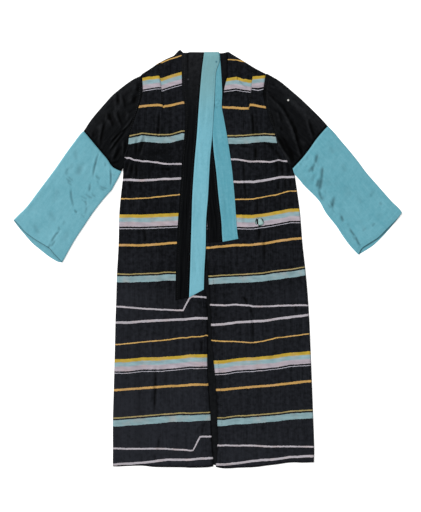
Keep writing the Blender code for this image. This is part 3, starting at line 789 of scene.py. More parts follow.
def creased(creases, x, down):
    """The height that soft ridges and troughs add, and the painted shade each place gets in a trough and
    beside a ridge.
    """
    height, painted_shade = np.zeros(x.shape), np.zeros(x.shape)
    for crease in map(Crease._make, creases):
        run = np.array((crease.x1 - crease.x0, crease.down1 - crease.down0), float)
        length = np.hypot(*run)
        run /= length
        far_x, far_down = x - crease.x0, down - crease.down0
        share = np.clip((far_x * run[0] + far_down * run[1]) / length, 0, 1)
        from_end = np.minimum(share, 1 - share)
        aside = far_down * run[0] - far_x * run[1] - crease.bow * 4 * share * (1 - share)
        ends = crease.height * ramp(from_end, RISE_SHARE)
        crest = ends * np.exp(-((aside / crease.width) ** 2))
        beside = (aside - FLANK_AT * crease.width) / (FLANK_WIDTH * crease.width)
        flank = -FLANK_DIP * ends * np.exp(-(beside**2))
        height = height + crest + flank
        taper = ramp(from_end, TAPER)
        reach = crease.width * (NARROW_END + (1 - NARROW_END) * taper)
        # Painted shade: full along a deep trough, tapering to its ends, and some beside a ridge.
        depth = np.clip(-crease.height / FULL_SHADE_DEPTH, 0, 1)
        painted_shade = painted_shade + depth * taper * np.exp(-((aside / reach) ** 2))
        painted_shade = painted_shade + np.maximum(-flank, 0) * (ends > 0) / FULL_SHADE_DEPTH
    return height, np.clip(painted_shade * (PAINTED_SHADE_STRENGTH + swelling(x, down, PAINTED_SHADE_UNEVEN)), 0, 1)


def clear_of_collar(side, x, down):
    """1 where a front is free to crease, 0 where the collar lies on it."""
    line, end = UNDER_COLLAR[side]
    line = np.array(line, float)
    border = np.interp(down, line[:, 1], line[:, 0])
    beyond = border - x if side == "right" else x - border
    return ramp(np.maximum(beyond, down - end), COLLAR_MARGIN)


def front_fade(side, x, down):
    """How worn the black is at each place of a front, less at the shoulder than at the skirt."""
    downs = [row.down for row in FADING]
    outer = np.interp(down, downs, [getattr(row, f"{side}_side") for row in FADING])
    inner = np.interp(down, downs, [getattr(row, f"{side}_inner") for row in FADING])
    near_edge = 1 - ramp(distance_to(FRONT_EDGE[side], x, down), EDGE_FRESH_WIDTH)
    fresh = EDGE_FRESH * near_edge * ramp(down - FRESH_BELOW, FRESH_FADE)
    return outer + (inner - outer) * (1 - ramp(np.abs(x) - INNER_AT, INNER_FADE)) - fresh


def armhole_end(line):
    """Where along a front's outer line the armhole ends, at the underarm."""
    return np.flatnonzero(np.isclose(line[:, 1], ARMHOLES[-1].down))[0]


def seam_shade(distance):
    """1 at a seam, where the cloth dips and painted shade is darkest, falling to 0 a few millimetres from it.
    """
    return 1 - ramp(distance - SEAM_SHADE_FROM, SEAM_SHADE_WIDTH)


def front_top(side, x, down):
    """The height of a front's upper face above the table, and the painted shade each place gets from creases,
    seams, edges and the tuck.
    """
    seam = outer_line(side)
    corner = armhole_end(seam)
    from_side = distance_to(seam[corner::3], x, down)
    from_armhole = distance_to(seam[: corner + 1 : 3], x, down)
    from_shoulder = distance_to(SHOULDER[side], x, down)
    from_free = np.minimum(distance_to(HEM[side], x, down), distance_to(FRONT_EDGE[side], x, down))
    tops = [
        SIDE_START + (FLAT_TOP - SIDE_START) * rounded(from_side, SIDE_ROUND),
        SIDE_START + (FLAT_TOP - SIDE_START) * rounded(from_shoulder, SIDE_ROUND),
        ARMHOLE_START + (FLAT_TOP - ARMHOLE_START) * rounded(from_armhole, ARMHOLE_ROUND),
        FREE_START + (FLAT_TOP - FREE_START) * ramp(from_free, FREE_FALL),
    ]
    top = np.min(tops, axis=0)
    outline = np.min([from_side, from_shoulder, from_free], axis=0)
    inner = np.minimum(outline, from_armhole)
    free = clear_of_collar(side, x, down)
    pucker = swelling(x, down, FRONT_PUCKER) * (1 - ramp(inner, FRONT_PUCKER_WIDTH))
    folds, painted_shade = creased(FRONT_CREASES[side], x, down)
    soft = (folds + swelling(x, down, *FRONT_SWELLS)) * ramp(inner, SOFT_FROM)
    soft = soft + pucker * ramp(inner, PUCKER_FROM)
    aside = (x - tuck_across(side, down)) * (-1 if side == "right" else 1)
    held = ramp(down - TUCK_FROM, TUCK_FADES[0]) * (1 - ramp(down - TUCK_UNTIL, TUCK_FADES[1]))
    tuck = TUCK_RISE * held * ramp(aside, TUCK_FOLD) * np.exp(-np.maximum(aside, 0) / TUCK_SPREAD)
    turned = TURNED_RISE * (1 - ramp(from_free - TURNED, STEP_WIDTH)) * ramp(inner, TURN_FROM)
    raised = top + free * (soft + tuck * ramp(inner, SHADE_FROM) + turned)
    # Painted shade by the armhole near the shoulder, along the tuck and at the edges, added to the creases'
    # painted shade.
    painted_armhole_shade = ARMHOLE_SHADE * seam_shade(from_armhole) * (1 - ramp(down - SHOULDER_END, SHOULDER_FADE))
    painted_tuck_shade = TUCK_SHADE * held * np.exp(-((aside / TUCK_LINE) ** 2))
    shade = painted_tuck_shade + EDGE_SHADE * np.maximum(seam_shade(outline), painted_armhole_shade)
    painted_shade = free * np.clip(painted_shade * ramp(inner, SHADE_FROM) + shade, 0, 1)
    z = np.where(from_side < SIDE_ROUND, raised, np.maximum(raised, np.minimum(LOWEST_TOP, top)))
    return z, painted_shade


# The lines that are stitched later, as places across, down and up, gathered from each piece.
stitch_lines = {"black": [], "turquoise": []}


def add_front(side):
    outer, edge = outer_line(side), smooth(FRONT_EDGE[side])
    shoulder, hem = SHOULDER[side], smooth(HEM[side])
    columns, rows = (spaced(span, FRONT_STEP, extra=(span - TURNED,)) for span in FRONT_SPAN)
    u, v = np.meshgrid(columns, rows, indexing="ij")
    x, down = patch(outer, edge, shoulder, hem, u, v)
    z, painted_shade = front_top(side, x, down)
    # Each point carries its stripe value, its painted shade and its wear.
    values = {"stripe": stripe_value(side, x, down), "painted_shade": painted_shade, "fade": front_fade(side, x, down)}
    front = cloth_object(f"front_{side}_cloth", x, down, z, x, down, STRIPED, values=values)
    add_wall(front, SILK_WALL)
    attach(front, "root")
    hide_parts(f"front_{side}")
    edge_column, hem_row = (
        int(np.argmin(abs(shares - (1 - TURNED / span)))) for shares, span in zip((columns, rows), FRONT_SPAN)
    )
    grid = np.stack([x, down, z], axis=-1)
    below_collar = down[edge_column] > UNDER_COLLAR[side][1] + EDGE_STITCHES_PAST
    tuck_top, tuck_foot = TUCK[side][0][1] + TUCK_STITCHES_FROM, TUCK[side][2][1] + TUCK_STITCHES_PAST
    tuck_down = np.arange(tuck_top, tuck_foot, TUCK_STITCH_STEP)
    tuck_x = tuck_across(side, tuck_down) + (TUCK_STITCH if side == "right" else -TUCK_STITCH)
    tuck_z = front_top(side, tuck_x, tuck_down)[0]
    stitch_lines["black"] += [
        grid[FIRST_HEM_STITCH:edge_column, hem_row],
        grid[edge_column, below_collar][: hem_row - len(rows)],
        np.stack([tuck_x, tuck_down, tuck_z], axis=-1),
    ]


for side in ("right", "left"):
    add_front(side)

# The sleeves, each a tube in two parts sewn end to end. The upper part is plain black silk
# set into the armhole, and the lower part is turquoise silk, turned in at the cuff. They lie
# flattened, with a soft fold along the top and a seam underneath.
SLEEVE_STEP = 2.2
SLEEVE_TOP = 4.0
SLEEVE_ROUND = 5.0
SLEEVE_ALLOWANCE, PLAIN_ENDS = 1.2, 0.06
UNDERARM_FROM, UNDERARM_ALLOWANCE = 280.0, 12.0
ALLOWANCE_DIP, ALLOWANCE_RISE = 2.0, 6.0
SLEEVE_SEAM_DIP = 0.9
SLEEVE_AIR = 0.9
SLEEVE_SWELLS = (Swell(0.5, 34, 34, 31), Swell(0.25, 12, 14, 32))
SLEEVE_PUCKER, SLEEVE_PUCKER_WIDTH = Swell(0.3, 6, 6, 33), 22
UNDER_SWELL = Swell(0.06, 20, 20, 34)
AIR_FROM_FOLD, AIR_FROM_SEAM = 45, 30
# Painted shade by the sleeve's seams and at its cuff's edge.
UPPER_SEAM_SHADE, SHOULDER_SEAM_SHADE, LOWER_SEAM_SHADE = 0.3, 0.25, 0.34
SEAM_SHADE_REACH, DEEPEST_SHADE = 5.0, 2.4
SHADED_START, SHADED_END, SLEEVE_SHADE_FROM = 1, 3, 8
SLEEVE_WEAR = 0.15
# A black sleeve is lighter along its top fold and away from the underarm.
TOP_LIGHTER, TOP_LIGHTER_WIDTH, TOP_LIGHTER_FROM, TOP_LIGHTER_FADE = 0.46, 44.0, 170, 60
UPPER_LIGHTER, UNDERARM_REACH = 0.20, 160.0
# Painted highlight on the ridges of the black sleeves.
RIDGE_HIGHLIGHT, HIGHEST_RIDGE = 0.45, 1.5
CUFF_TURN = 12.0
CUFF_FALL, CUFF_FALL_WIDTH, CUFF_STEP = 0.9, 16, 0.4
# How far the painted shadow along the cuff's edge reaches.
CUFF_SHADOW_WIDTH = 3.4
SLEEVE_FOLDS_FROM = 10
SEAM_GAP = 0.05
SEAM_STITCH_ROW = 7
CUFF_STITCHED, SEAM_STITCHED = slice(4, -4), slice(5, -5)
UPPER_SPAN, LOWER_SPAN = (270, 170), (190, 320)
# Each sleeve's shadow is the strength of a painted shadow along its cuff's edge.
Sleeve = namedtuple(
    "Sleeve", "inwards outwards pale shadow top seam under lower_top lower_under cuff_front cuff_back"
)
SLEEVES = {
    "right": Sleeve(
        inwards=(1, 0), outwards=np.array((-0.75, 0.66)), pale=0.62, shadow=1.1,
        top=((-195, 77), (-219, 88), (-243, 104), (-281, 134.5), (-303, 158), (-344.5, 206.5), (-370, 244.5)),
        seam=((-370, 244.5), (-323.5, 300.5), (-299.5, 329), (-285, 350.5), (-270, 360), (-256.5, 365)),
        under=((-238, 324), (-249, 350), (-256.5, 365)),
        lower_top=(
            (-370, 244.5), (-381, 254.5), (-399, 278.5), (-417, 302.5), (-459, 362.5), (-504, 422.5),
            (-540, 470.5), (-564, 494.5), (-581, 512),
        ),
        lower_under=(
            (-256.5, 365), (-266, 385.5), (-279.5, 409.5), (-286, 421.5), (-298, 434.5), (-318, 458),
            (-345, 493.5), (-369, 529.5), (-393, 565.5), (-414, 601.5), (-427, 625.5), (-435, 639),
        ),
        cuff_front=(
            (-581, 512), (-565, 527.5), (-548.5, 547), (-530.5, 561), (-510.5, 574.5), (-493.5, 584.5),
            (-473.5, 597), (-461, 612), (-447.5, 626), (-435, 639),
        ),
        cuff_back=(
            (-581, 512), (-567.5, 531), (-547, 555.5), (-526, 579.5), (-512, 591.5), (-496.5, 604),
            (-481.5, 616), (-464, 628), (-447, 637), (-435, 639),
        ),
    ),
    "left": Sleeve(
        inwards=(-1, 0), outwards=np.array((0.78, 0.62)), pale=0.30, shadow=0.15,
        top=((176, 70), (213, 91), (237, 109.5), (261, 130), (285, 151), (333, 197.5), (362, 229)),
        seam=((362, 229), (330.5, 265), (306.5, 299), (282.5, 329), (256.5, 356.5)),
        under=((231, 324), (245, 345), (256.5, 356.5)),
        lower_top=(
            (362, 229), (381, 248.5), (405, 277.5), (429, 305.5), (453, 335.5), (477, 368), (501, 395.5),
            (534, 433), (555, 456.5), (568, 468.5), (580, 481), (585, 490),
        ),
        lower_under=(
            (256.5, 356.5), (261, 370.5), (268.5, 381), (278.5, 392), (290.5, 407), (314, 430), (326, 442),
            (340, 459), (355, 487), (369, 505.5), (390, 532), (408, 560), (430, 589.5), (454.5, 615.5),
        ),
        cuff_front=(
            (585, 490), (568, 510), (543.5, 534), (515.5, 562), (491.5, 578), (475.5, 588), (463, 598),
            (454.5, 615.5),
        ),
        cuff_back=(
            (585, 490), (574, 506), (554, 530.5), (533, 554.5), (521, 567), (509, 579), (494, 591.5),
            (476, 603), (454.5, 615.5),
        ),
    ),
}
UPPER_CREASES = {
    "right": (
        (-268, 128, -265, 166, -1.8, 4.2, 1), (-254, 132, -243, 180, -1.6, 4.0, -2),
        (-292, 188, -289, 216, -2.6, 6.0, 0), (-289, 205, -279, 234, -1.8, 4.0, 0),
        (-301, 203, -319, 294, -1.8, 4.0, 3), (-269, 180, -247, 240, -1.7, 4.0, 2),
        (-203, 94, -207, 134, -2.0, 6.0, 0), (-210, 132, -223, 168, -2.4, 6.5, 0),
        (-217, 198, -234, 236, -1.5, 3.6, 0), (-226, 226, -294, 290, -2.0, 3.0, 5),
        (-234, 234, -296, 316, -2.2, 3.2, 1.5), (-236, 228, -292, 300, 1.3, 2.6, 3),
        (-212, 190, -284, 272, 1.2, 3.0, -4), (-261, 126, -258, 172, 0.9, 3.0, 0),
        (-240, 182, -238, 218, 0.9, 5.0, 0), (-299, 188, -308, 232, 1.0, 3.2, 0),
        (-281, 182, -270, 216, 1.0, 3.2, 0), (-257, 288, -278, 336, -2.8, 6.0, 0),
        (-241, 270, -245, 326, -2.4, 5.0, 0), (-260, 336, -288, 343, -1.6, 4.0, 0),
        (-341, 246, -341, 266, -1.2, 4.5, 0), (-250, 149, -330, 247, 0.9, 9, -7),
        (-328, 219, -316, 289, 0.9, 8, -3), (-276, 149, -274, 195, 0.8, 5, 0),
    ),
    "left": (
        (172, 98, 174, 168, -2.4, 6.0, 0), (182, 120, 216, 162, -1.3, 3.6, 2),
        (206, 146, 260, 234, -3.0, 4.6, -6), (252, 204, 270, 258, -3.2, 4.8, 0),
        (263.5, 226, 275, 284, -3.0, 4.6, 0), (268, 254, 291, 328, -2.9, 4.4, 0),
        (305, 204, 326, 270, -2.6, 4.2, 1), (217, 184, 227, 220, -1.6, 4.0, 0),
        (222, 228, 226, 248, -1.2, 4.0, 0), (192, 104, 208, 108, -1.2, 3.4, 0),
        (188, 180, 204, 244, -1.4, 4.0, -2), (202, 244, 254, 332, -3.0, 4.6, 0),
        (212, 240, 264, 334, -3.2, 5.0, -3.5), (246, 296, 263, 346, -2.8, 7.0, 0),
        (222, 260, 252, 300, 1.6, 3.4, 0), (234, 139, 320, 235, 1.0, 9, -6),
        (252, 249, 302, 289, 0.9, 8, 4),
    ),
}
LOWER_CREASES = {
    "right": (
        (-322, 306, -342, 388, -1.3, 3.0, 3), (-290, 352, -289, 416, -1.5, 2.6, -2),
        (-286, 372, -272, 380, -0.5, 2.5, 1), (-306, 338, -303, 352, -0.7, 2.5, 0),
        (-334, 378, -318, 390, -1.0, 3.5, 1), (-330, 392, -322, 404, -0.5, 3.0, 1),
        (-326, 407, -293, 419, -0.9, 2.6, 2), (-324, 414, -305, 425, -0.8, 2.6, 0),
        (-348, 398, -352, 430, -0.9, 3.5, 1), (-379, 438, -356, 451, -0.9, 2.6, 1),
        (-366, 431, -339, 449, -0.9, 2.6, 2), (-347, 430, -330, 445, -0.8, 2.6, 1),
        (-378, 450, -360, 460, -0.6, 2.6, 0), (-367, 452, -361, 470, -0.9, 3.0, -2),
        (-361, 470, -364, 496, -0.6, 3.0, -1), (-424, 384, -404, 401, -0.9, 2.6, 1),
        (-418, 380, -399, 396, -0.8, 2.6, 0), (-419, 395, -402, 410, -0.8, 2.6, 1),
        (-413, 352, -420, 382, -0.7, 5.0, 3), (-400, 340, -408, 366, -0.4, 5.0, 2),
        (-407, 412, -396, 478, -1.2, 3.2, 4), (-398, 481, -387, 490, -1.7, 2.6, 1),
        (-379, 493, -364, 507, -0.5, 2.5, 0), (-394, 296, -388, 336, -0.5, 7.0, 2),
        (-384, 340, -390, 384, -0.4, 8.0, -3), (-470, 480, -452, 520, -0.4, 8.0, 3),
        (-520, 520, -500, 556, -0.4, 7.0, 2), (-445, 529, -439, 545, -0.9, 3.4, 1),
        (-439, 543, -468, 586, -1.3, 3.0, 4), (-468, 582, -477, 598, -1.0, 2.6, 0),
        (-452, 570, -470, 596, -1.0, 2.6, 0), (-425, 512, -432, 530, -0.4, 3.5, 0),
        (-452, 300, -470, 336, 0.5, 8.0, -3), (-350, 340, -372, 392, 0.6, 8.0, 4),
        (-430, 420, -446, 470, 0.5, 9.0, -3), (-340, 470, -352, 500, 0.5, 7.0, 2),
        (-520, 440, -500, 480, 0.4, 9.0, 3), (-460, 380, -476, 420, 0.4, 9.0, 3),
        (-402, 545, -416, 585, 0.5, 8.0, -2),
    ),
    "left": (
        (332, 312, 327, 346, -1.6, 4.2, 1), (327, 338, 315, 372, -1.3, 4.0, 1),
        (320, 348, 304, 372, -1.0, 3.6, 1), (330, 336, 338, 354, -0.4, 3.0, 0),
        (304, 320, 300, 334, -0.5, 2.4, 0), (292, 328, 284, 340, -0.4, 2.4, 0),
        (276, 340, 286, 348, -0.4, 2.4, 0), (302, 346, 294, 356, -0.4, 2.4, 0),
        (349, 348, 347, 392, -1.4, 4.2, 2), (347, 378, 340, 428, -2.2, 5.6, 2),
        (337, 386, 329, 418, -1.3, 4.0, 1), (326, 372, 318, 396, -0.5, 4.0, 1),
        (311, 382, 322, 398, -0.4, 3.2, 0), (336, 418, 351, 458, -1.5, 3.8, 2),
        (347, 436, 355, 456, -0.6, 2.6, 0), (352, 420, 358, 436, -0.4, 2.6, 0),
        (385, 438, 377, 482, -1.4, 5.0, 2), (369, 452, 381, 472, -0.8, 2.8, 1),
        (362, 460, 372, 478, -0.6, 2.8, 0), (374, 474, 384, 492, -0.4, 3.0, 0),
        (402, 494, 412, 520, -1.4, 4.0, 1), (396, 488, 402, 498, -0.5, 2.6, 0),
        (427, 532, 448, 563, -1.5, 3.2, 2), (444, 554, 464, 595, -1.5, 3.2, 2),
        (436, 556, 447, 576, -0.5, 2.8, 0), (420, 520, 428, 534, -0.5, 3.0, 0),
        (520, 456, 526, 470, -0.7, 4.0, 1), (505, 420, 490, 448, -0.4, 5.0, 1),
        (506, 520, 496, 534, -0.7, 4.0, 1), (480, 534, 466, 548, -0.6, 4.5, 1),
        (454, 430, 470, 470, -0.35, 8.0, 3), (408, 338, 420, 372, -0.35, 8.0, 3),
        (372, 288, 382, 316, -0.35, 7.0, 2), (432, 400, 446, 440, 0.5, 10.0, -3),
        (376, 372, 388, 408, 0.5, 9.0, 3), (344, 300, 352, 330, 0.5, 7.0, 2),
        (474, 500, 488, 530, 0.5, 9.0, 3), (420, 470, 432, 504, 0.5, 8.0, -2),
        (298, 372, 312, 398, 0.5, 6.0, 1), (530, 480, 544, 508, 0.4, 9.0, 2),
    ),
}
TURQUOISE_DEEP = (0.080, 0.288, 0.360, 1)
TURQUOISE_PALE = (0.150, 0.388, 0.470, 1)
TURQUOISE_WORN = (0.150, 0.300, 0.315, 1)
# The colour of the painted sheen on raised threads.
TURQUOISE_SHINE = (0.190, 0.430, 0.500, 1)
# How far painted shade in creases and by seams darkens the turquoise.
TURQUOISE_CREASE_SHADE = 0.7
SLOW_TONE, PATCHY_TONE = (-0.22, 0.22), (-0.28, 0.28)
RAISED_RANGE, RAISED_SHINE = (0.10, 0.60), (0.0, 0.25)
INKED = ((28.2, 37.5), 3.0, (0.055, 0.160, 0.200, 1))


def turquoise_silk():
    """Turquoise silk with slubs both ways and a painted sheen, paler, on its raised threads."""
    material, tree, shader = empty_material("turquoise_silk")
    place, faded, weft_streak = silk_weave(tree, shader, coarse=65.0, strength=0.45)
    slow = rescaled(tree, cloudy(tree, place, scale=11.0, detail=4.0), CLOUDS, SLOW_TONE)
    patchy = cloudy(tree, place, scale=75.0, detail=4.0, roughness=0.7)
    uneven = combined(tree, "ADD", slow, rescaled(tree, patchy, CLOUDS, PATCHY_TONE))
    pale = combined(tree, "ADD", carried(tree, "pale"), uneven)
    tone = mixed(tree, pale, TURQUOISE_DEEP, TURQUOISE_PALE)
    tone = mixed(tree, carried(tree, "worn"), tone, TURQUOISE_WORN)
    # Painted sheen: the raised threads' streaks mixed towards a paler turquoise.
    raised = rescaled(tree, combined(tree, "MULTIPLY", faded, weft_streak), RAISED_RANGE, RAISED_SHINE)
    spotted = marked(tree, mixed(tree, raised, tone, TURQUOISE_SHINE), *INKED)
    # Painted shade in creases, by seams and along the cuff's edge.
    colour = with_painted_shade(tree, spotted, TURQUOISE_CREASE_SHADE)
    finish_silk(
        tree, shader, colour, weft_streak, gloss=(0.46, 0.62), specular=0.16, sheen=0.05,
        sheen_roughness=0.45,
    )
    return material


def tucked(line, towards):
    """A seam line with its allowance turned under the cloth beside it, but for both its ends."""
    share = shares_along(line)[:, None]
    inwards = np.array(towards) / np.linalg.norm(towards)
    return line + inwards * SLEEVE_ALLOWANCE * ramp(np.minimum(share, 1 - share), PLAIN_ENDS)


def sleeve_face(x, down, from_fold, from_start, from_end, creases, cuffed, shadow):
    """The height of a tube's upper layer, and the painted shade each place gets in a crease or by a seam."""
    from_seam = from_start if cuffed else np.minimum(from_start, from_end)
    inner = np.minimum(from_fold, from_seam)
    bulge = rounded(from_fold, SLEEVE_ROUND)
    dip = ALLOWANCE_DIP * (1 - ramp(from_start, ALLOWANCE_RISE))
    air = SLEEVE_AIR * ramp(from_fold, AIR_FROM_FOLD) * ramp(from_seam, AIR_FROM_SEAM)
    waves = swelling(x, down, *SLEEVE_SWELLS)
    pucker = swelling(x, down, SLEEVE_PUCKER) * (1 - ramp(from_seam, SLEEVE_PUCKER_WIDTH))
    folds, painted_shade = creased(creases, x, down)
    soft = folds * ramp(inner, SLEEVE_FOLDS_FROM) + (waves + air) * ramp(inner, SOFT_FROM)
    soft = soft + pucker * ramp(from_start, PUCKER_FROM)
    if cuffed:
        soft = soft - CUFF_FALL * (1 - ramp(from_end, CUFF_FALL_WIDTH)) * ramp(from_fold, SOFT_FROM)
        soft = soft + CUFF_STEP * (1 - ramp(from_end - CUFF_TURN, STEP_WIDTH))
        # Painted shade by the seam, and a painted shadow along the cuff's edge.
        shade = LOWER_SEAM_SHADE * (1 - ramp(from_seam, SEAM_SHADE_REACH))
        shade = shade + shadow * (1 - ramp(from_end, CUFF_SHADOW_WIDTH))
    else:
        dip = dip + SLEEVE_SEAM_DIP * (1 - rounded(from_end, SLEEVE_ROUND))
        # Painted shade along the armhole seam, deeper near the shoulder, and by the seam to the lower sleeve.
        at_shoulder = SHOULDER_SEAM_SHADE * (1 - ramp(down - SHOULDER_END, SHOULDER_FADE))
        shade = (UPPER_SEAM_SHADE + at_shoulder) * (1 - ramp(from_start - SHADED_START, SEAM_SHADE_REACH))
        shade = np.maximum(1 - ramp(from_end - SHADED_END, SEAM_SHADE_REACH), shade)
    z = np.maximum(SLEEVE_TOP / 2 * (1 + bulge) + (soft - dip) * bulge, SLEEVE_TOP / 2)
    return z, np.clip(painted_shade * ramp(inner, SLEEVE_SHADE_FROM) + shade, 0, DEEPEST_SHADE)


def sleeve_tone_and_highlight(x, down, crook, top, creases):
    """How light a black sleeve's colour is: lighter along its top and away from the underarm, with painted
    highlight on its ridges.
    """
    worn = UPPER_LIGHTER * ramp(np.hypot(x - crook[0], down - crook[1]), UNDERARM_REACH)
    # Painted highlight: the ridges made lighter.
    worn = worn + RIDGE_HIGHLIGHT * np.clip(creased(creases, x, down)[0], 0, HIGHEST_RIDGE)
    by_top = 1 - ramp(distance_to(top, x, down), TOP_LIGHTER_WIDTH)
    return worn + TOP_LIGHTER * by_top * ramp(np.abs(x) - TOP_LIGHTER_FROM, TOP_LIGHTER_FADE)


def ring_of(upper, lower):
    """The grids of an upper layer, each joined to the one below it round the folded edges."""
    return [np.concatenate([above, under[-2:0:-1]]) for above, under in zip(upper, lower)]


def ring_map(across, lengthwise, width):
    """The cloth's own weft and warp round a ring: out over the upper layer and back below it."""
    weft = np.concatenate([across, 2 * width - across[-2::-1]])
    return weft, np.concatenate([lengthwise, lengthwise[-2::-1]])


def tube(name, ends, folds, creases, span, material, pale, cuffed=False, shadow=0.0):
    """A flattened tube of cloth: its two end outlines a layer, its two folded edges, its creases."""
    u, v = np.meshgrid(*(spaced(length, SLEEVE_STEP) for length in span), indexing="ij")
    layers = []
    for is_under, (start, end) in enumerate(ends):
        x, down = patch(*folds, start, end, u, v)
        from_fold = np.minimum(*(distance_to(fold, x, down) for fold in folds))
        if is_under:
            bulge = rounded(from_fold, SLEEVE_ROUND)
            swell = swelling(x, down, UNDER_SWELL, base=1)
            z, painted_shade = SLEEVE_TOP / 2 * (1 - bulge) + swell * bulge, np.zeros(x.shape)
        else:
            from_ends = distance_to(start, x, down), distance_to(end, x, down)
            z, painted_shade = sleeve_face(x, down, from_fold, *from_ends, creases, cuffed, shadow)
        # An upper sleeve's worn value holds its painted ridge highlight too.
        worn = np.full(x.shape, SLEEVE_WEAR) if cuffed else sleeve_tone_and_highlight(x, down, end[-1], folds[0], creases)
        layers.append((x, down, z, painted_shade, worn))
    ring = ring_of(*layers)
    # Each point carries its painted shade, its paleness and its wear.
    values = {"painted_shade": ring[3], "pale": np.full(ring[0].shape, pale), "worn": ring[4]}
    cloth_map = ring_map(u * span[0], v * span[1], span[0])
    piece = cloth_object(name, *ring[:3], *cloth_map, material, ring=True, values=values)
    add_wall(piece, SILK_WALL)
    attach(piece, "root")
    return piece, np.stack(layers[0][:3], axis=-1), v


def sleeve_start(side):
    """The sleeve's line in the armhole, which runs further in under the front at the underarm."""
    line = outer_line(side)
    line = line[: armhole_end(line) + 1]
    under = np.clip((line[:, 1] - UNDERARM_FROM) / (ARMHOLES[-1].down - UNDERARM_FROM), 0, 1)
    return line + np.outer(UNDERARM_ALLOWANCE * under, SLEEVES[side].inwards)


def add_sleeve(side, turquoise):
    shape = SLEEVES[side]
    armhole, top, seam = sleeve_start(side), smooth(shape.top), smooth(shape.seam)
    under = smooth(shape.under)
    top[0], under[0] = armhole[0], armhole[-1]
    upper, upper_grid, _ = tube(
        f"sleeve_upper_{side}_cloth", ((tucked(armhole, shape.inwards), seam), (armhole, seam)),
        (top, under), UPPER_CREASES[side], UPPER_SPAN, BLACK, 0.0,
    )
    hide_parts(f"sleeve_upper_{side}")
    begin = seam + SEAM_GAP * shape.outwards
    lower_top, lower_under = smooth(shape.lower_top), smooth(shape.lower_under)
    lower_top[0], lower_under[0] = begin[0], begin[-1]
    front, back = smooth(shape.cuff_front), smooth(shape.cuff_back)
    lower, grid, v = tube(
        f"sleeve_lower_{side}_cloth", ((tucked(begin, -shape.outwards), front), (begin, back)),
        (lower_top, lower_under), LOWER_CREASES[side], LOWER_SPAN, turquoise, shape.pale, cuffed=True,
        shadow=shape.shadow,
    )
    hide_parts(f"sleeve_lower_{side}")
    cuff_row = int(np.argmin(abs(v[0] - (1 - CUFF_TURN / LOWER_SPAN[1]))))
    stitch_lines["turquoise"] += [grid[CUFF_STITCHED, cuff_row], grid[SEAM_STITCHED, SEAM_STITCH_ROW]]
    stitch_lines["black"].append(upper_grid[SEAM_STITCHED, SEAM_STITCH_ROW])


TURQUOISE = turquoise_silk()
for side in ("right", "left"):
    add_sleeve(side, TURQUOISE)

# The collar, a long band in two halves, each a black and a turquoise strip sewn together down
# the middle, of silk folded double. It lies open down the front: a black wedge from behind the
# neck, then the left half, then the right half over it, and both end free.
COLLAR_WALL = 0.7
COLLAR_STEP = 2.8
COLLAR_GAP = 0.2
COLLAR_SLACK = 0.25
COLLAR_ROUND = 2.4
COLLAR_SWELLS = (Swell(0.22, 16, 46, 41), Swell(0.12, 8, 12, 42))
SOFT_FROM_SIDE, SOFT_FROM_END = 7, 8
# Painted shade along a black strip's right-hand edge, and how wide it is.
COLLAR_RIM_SHADE, COLLAR_RIM_WIDTH = 0.8, 4
NECK_SIDE_WEAR, NECK_SIDE_AT, NECK_SIDE_FADE = 0.72, -60, 8
WIDEST_STRIP, NARROWEST_STRIP = 60.0, 0.02
JOIN_GAP = 0.4
STITCHED_EDGES, STRIP_STITCHED = (6, -7), slice(4, -4)
NECK_EDGE = 9.0
NECK_LINE = (
    (-76, 9.5), (-56, 9.5), (-53.5, 7.8), (-8.5, 8.2), (-8, 7.6), (35, 7.4), (37.5, 11), (48, 10.5), (62, 7),
)
NECK_ROLL, NECK_ROLL_LENGTH = 2.6, 14.0
MAP_CELL = 3.0
MAP_LOW, MAP_HIGH = (-150.0, -30.0), (150.0, 800.0)
MAP_EDGE = 1.001
REACH = 3
Collar = namedtuple("Collar", "down seam join free")
COLLAR = {
    "right": (
        Collar(NECK_EDGE, -76, -8.5, 35), Collar(36, -76, -12, 37), Collar(69, -76, -16, 27),
        Collar(126, -74, -21, 23.5), Collar(186, -65, -25.5, 20), Collar(255, -68, -30, 16),
        Collar(322, -75, -36, 9.5), Collar(376, -77, -40, 6.5), Collar(442, -82, -44, 3),
        Collar(512, -87, -46, -2.5), Collar(592, -91, -48.5, -4), Collar(664, -93.5, -50.5, -8),
    ),
    "left": (
        Collar(NECK_EDGE, 37.5, -6, -50), Collar(61, 42, -5.5, -49), Collar(126, 45.5, -1, -44),
        Collar(171, 44.5, 3.5, -39.5), Collar(206, 50.5, 10.5, -32.5), Collar(255, 59.5, 16, -26),
        Collar(308, 68, 20.5, -20), Collar(368, 76, 28, -14.5), Collar(442, 83, 35, -7),
        Collar(512, 88, 43, 0), Collar(550, 91, 45, 1.5),
    ),
}
CollarEnd = namedtuple("CollarEnd", "seam join free")
COLLAR_TONES = {"right": (0.95, 0.85), "left": (0.05, 0.15)}
BLACK_TONES = {"right": (0.0, 1.0), "left": (0.0, 0.4)}
COLLAR_WEAR = {
    "black_silk": ((0, 60, 85, 110, 150, 200, 300), (0.82, 0.66, 0.48, 0.38, 0.24, 0.08, 0.02)),
    "turquoise_silk": ((60, 120, 190, 250), (1.0, 0.8, 0.25, 0.0)),
}
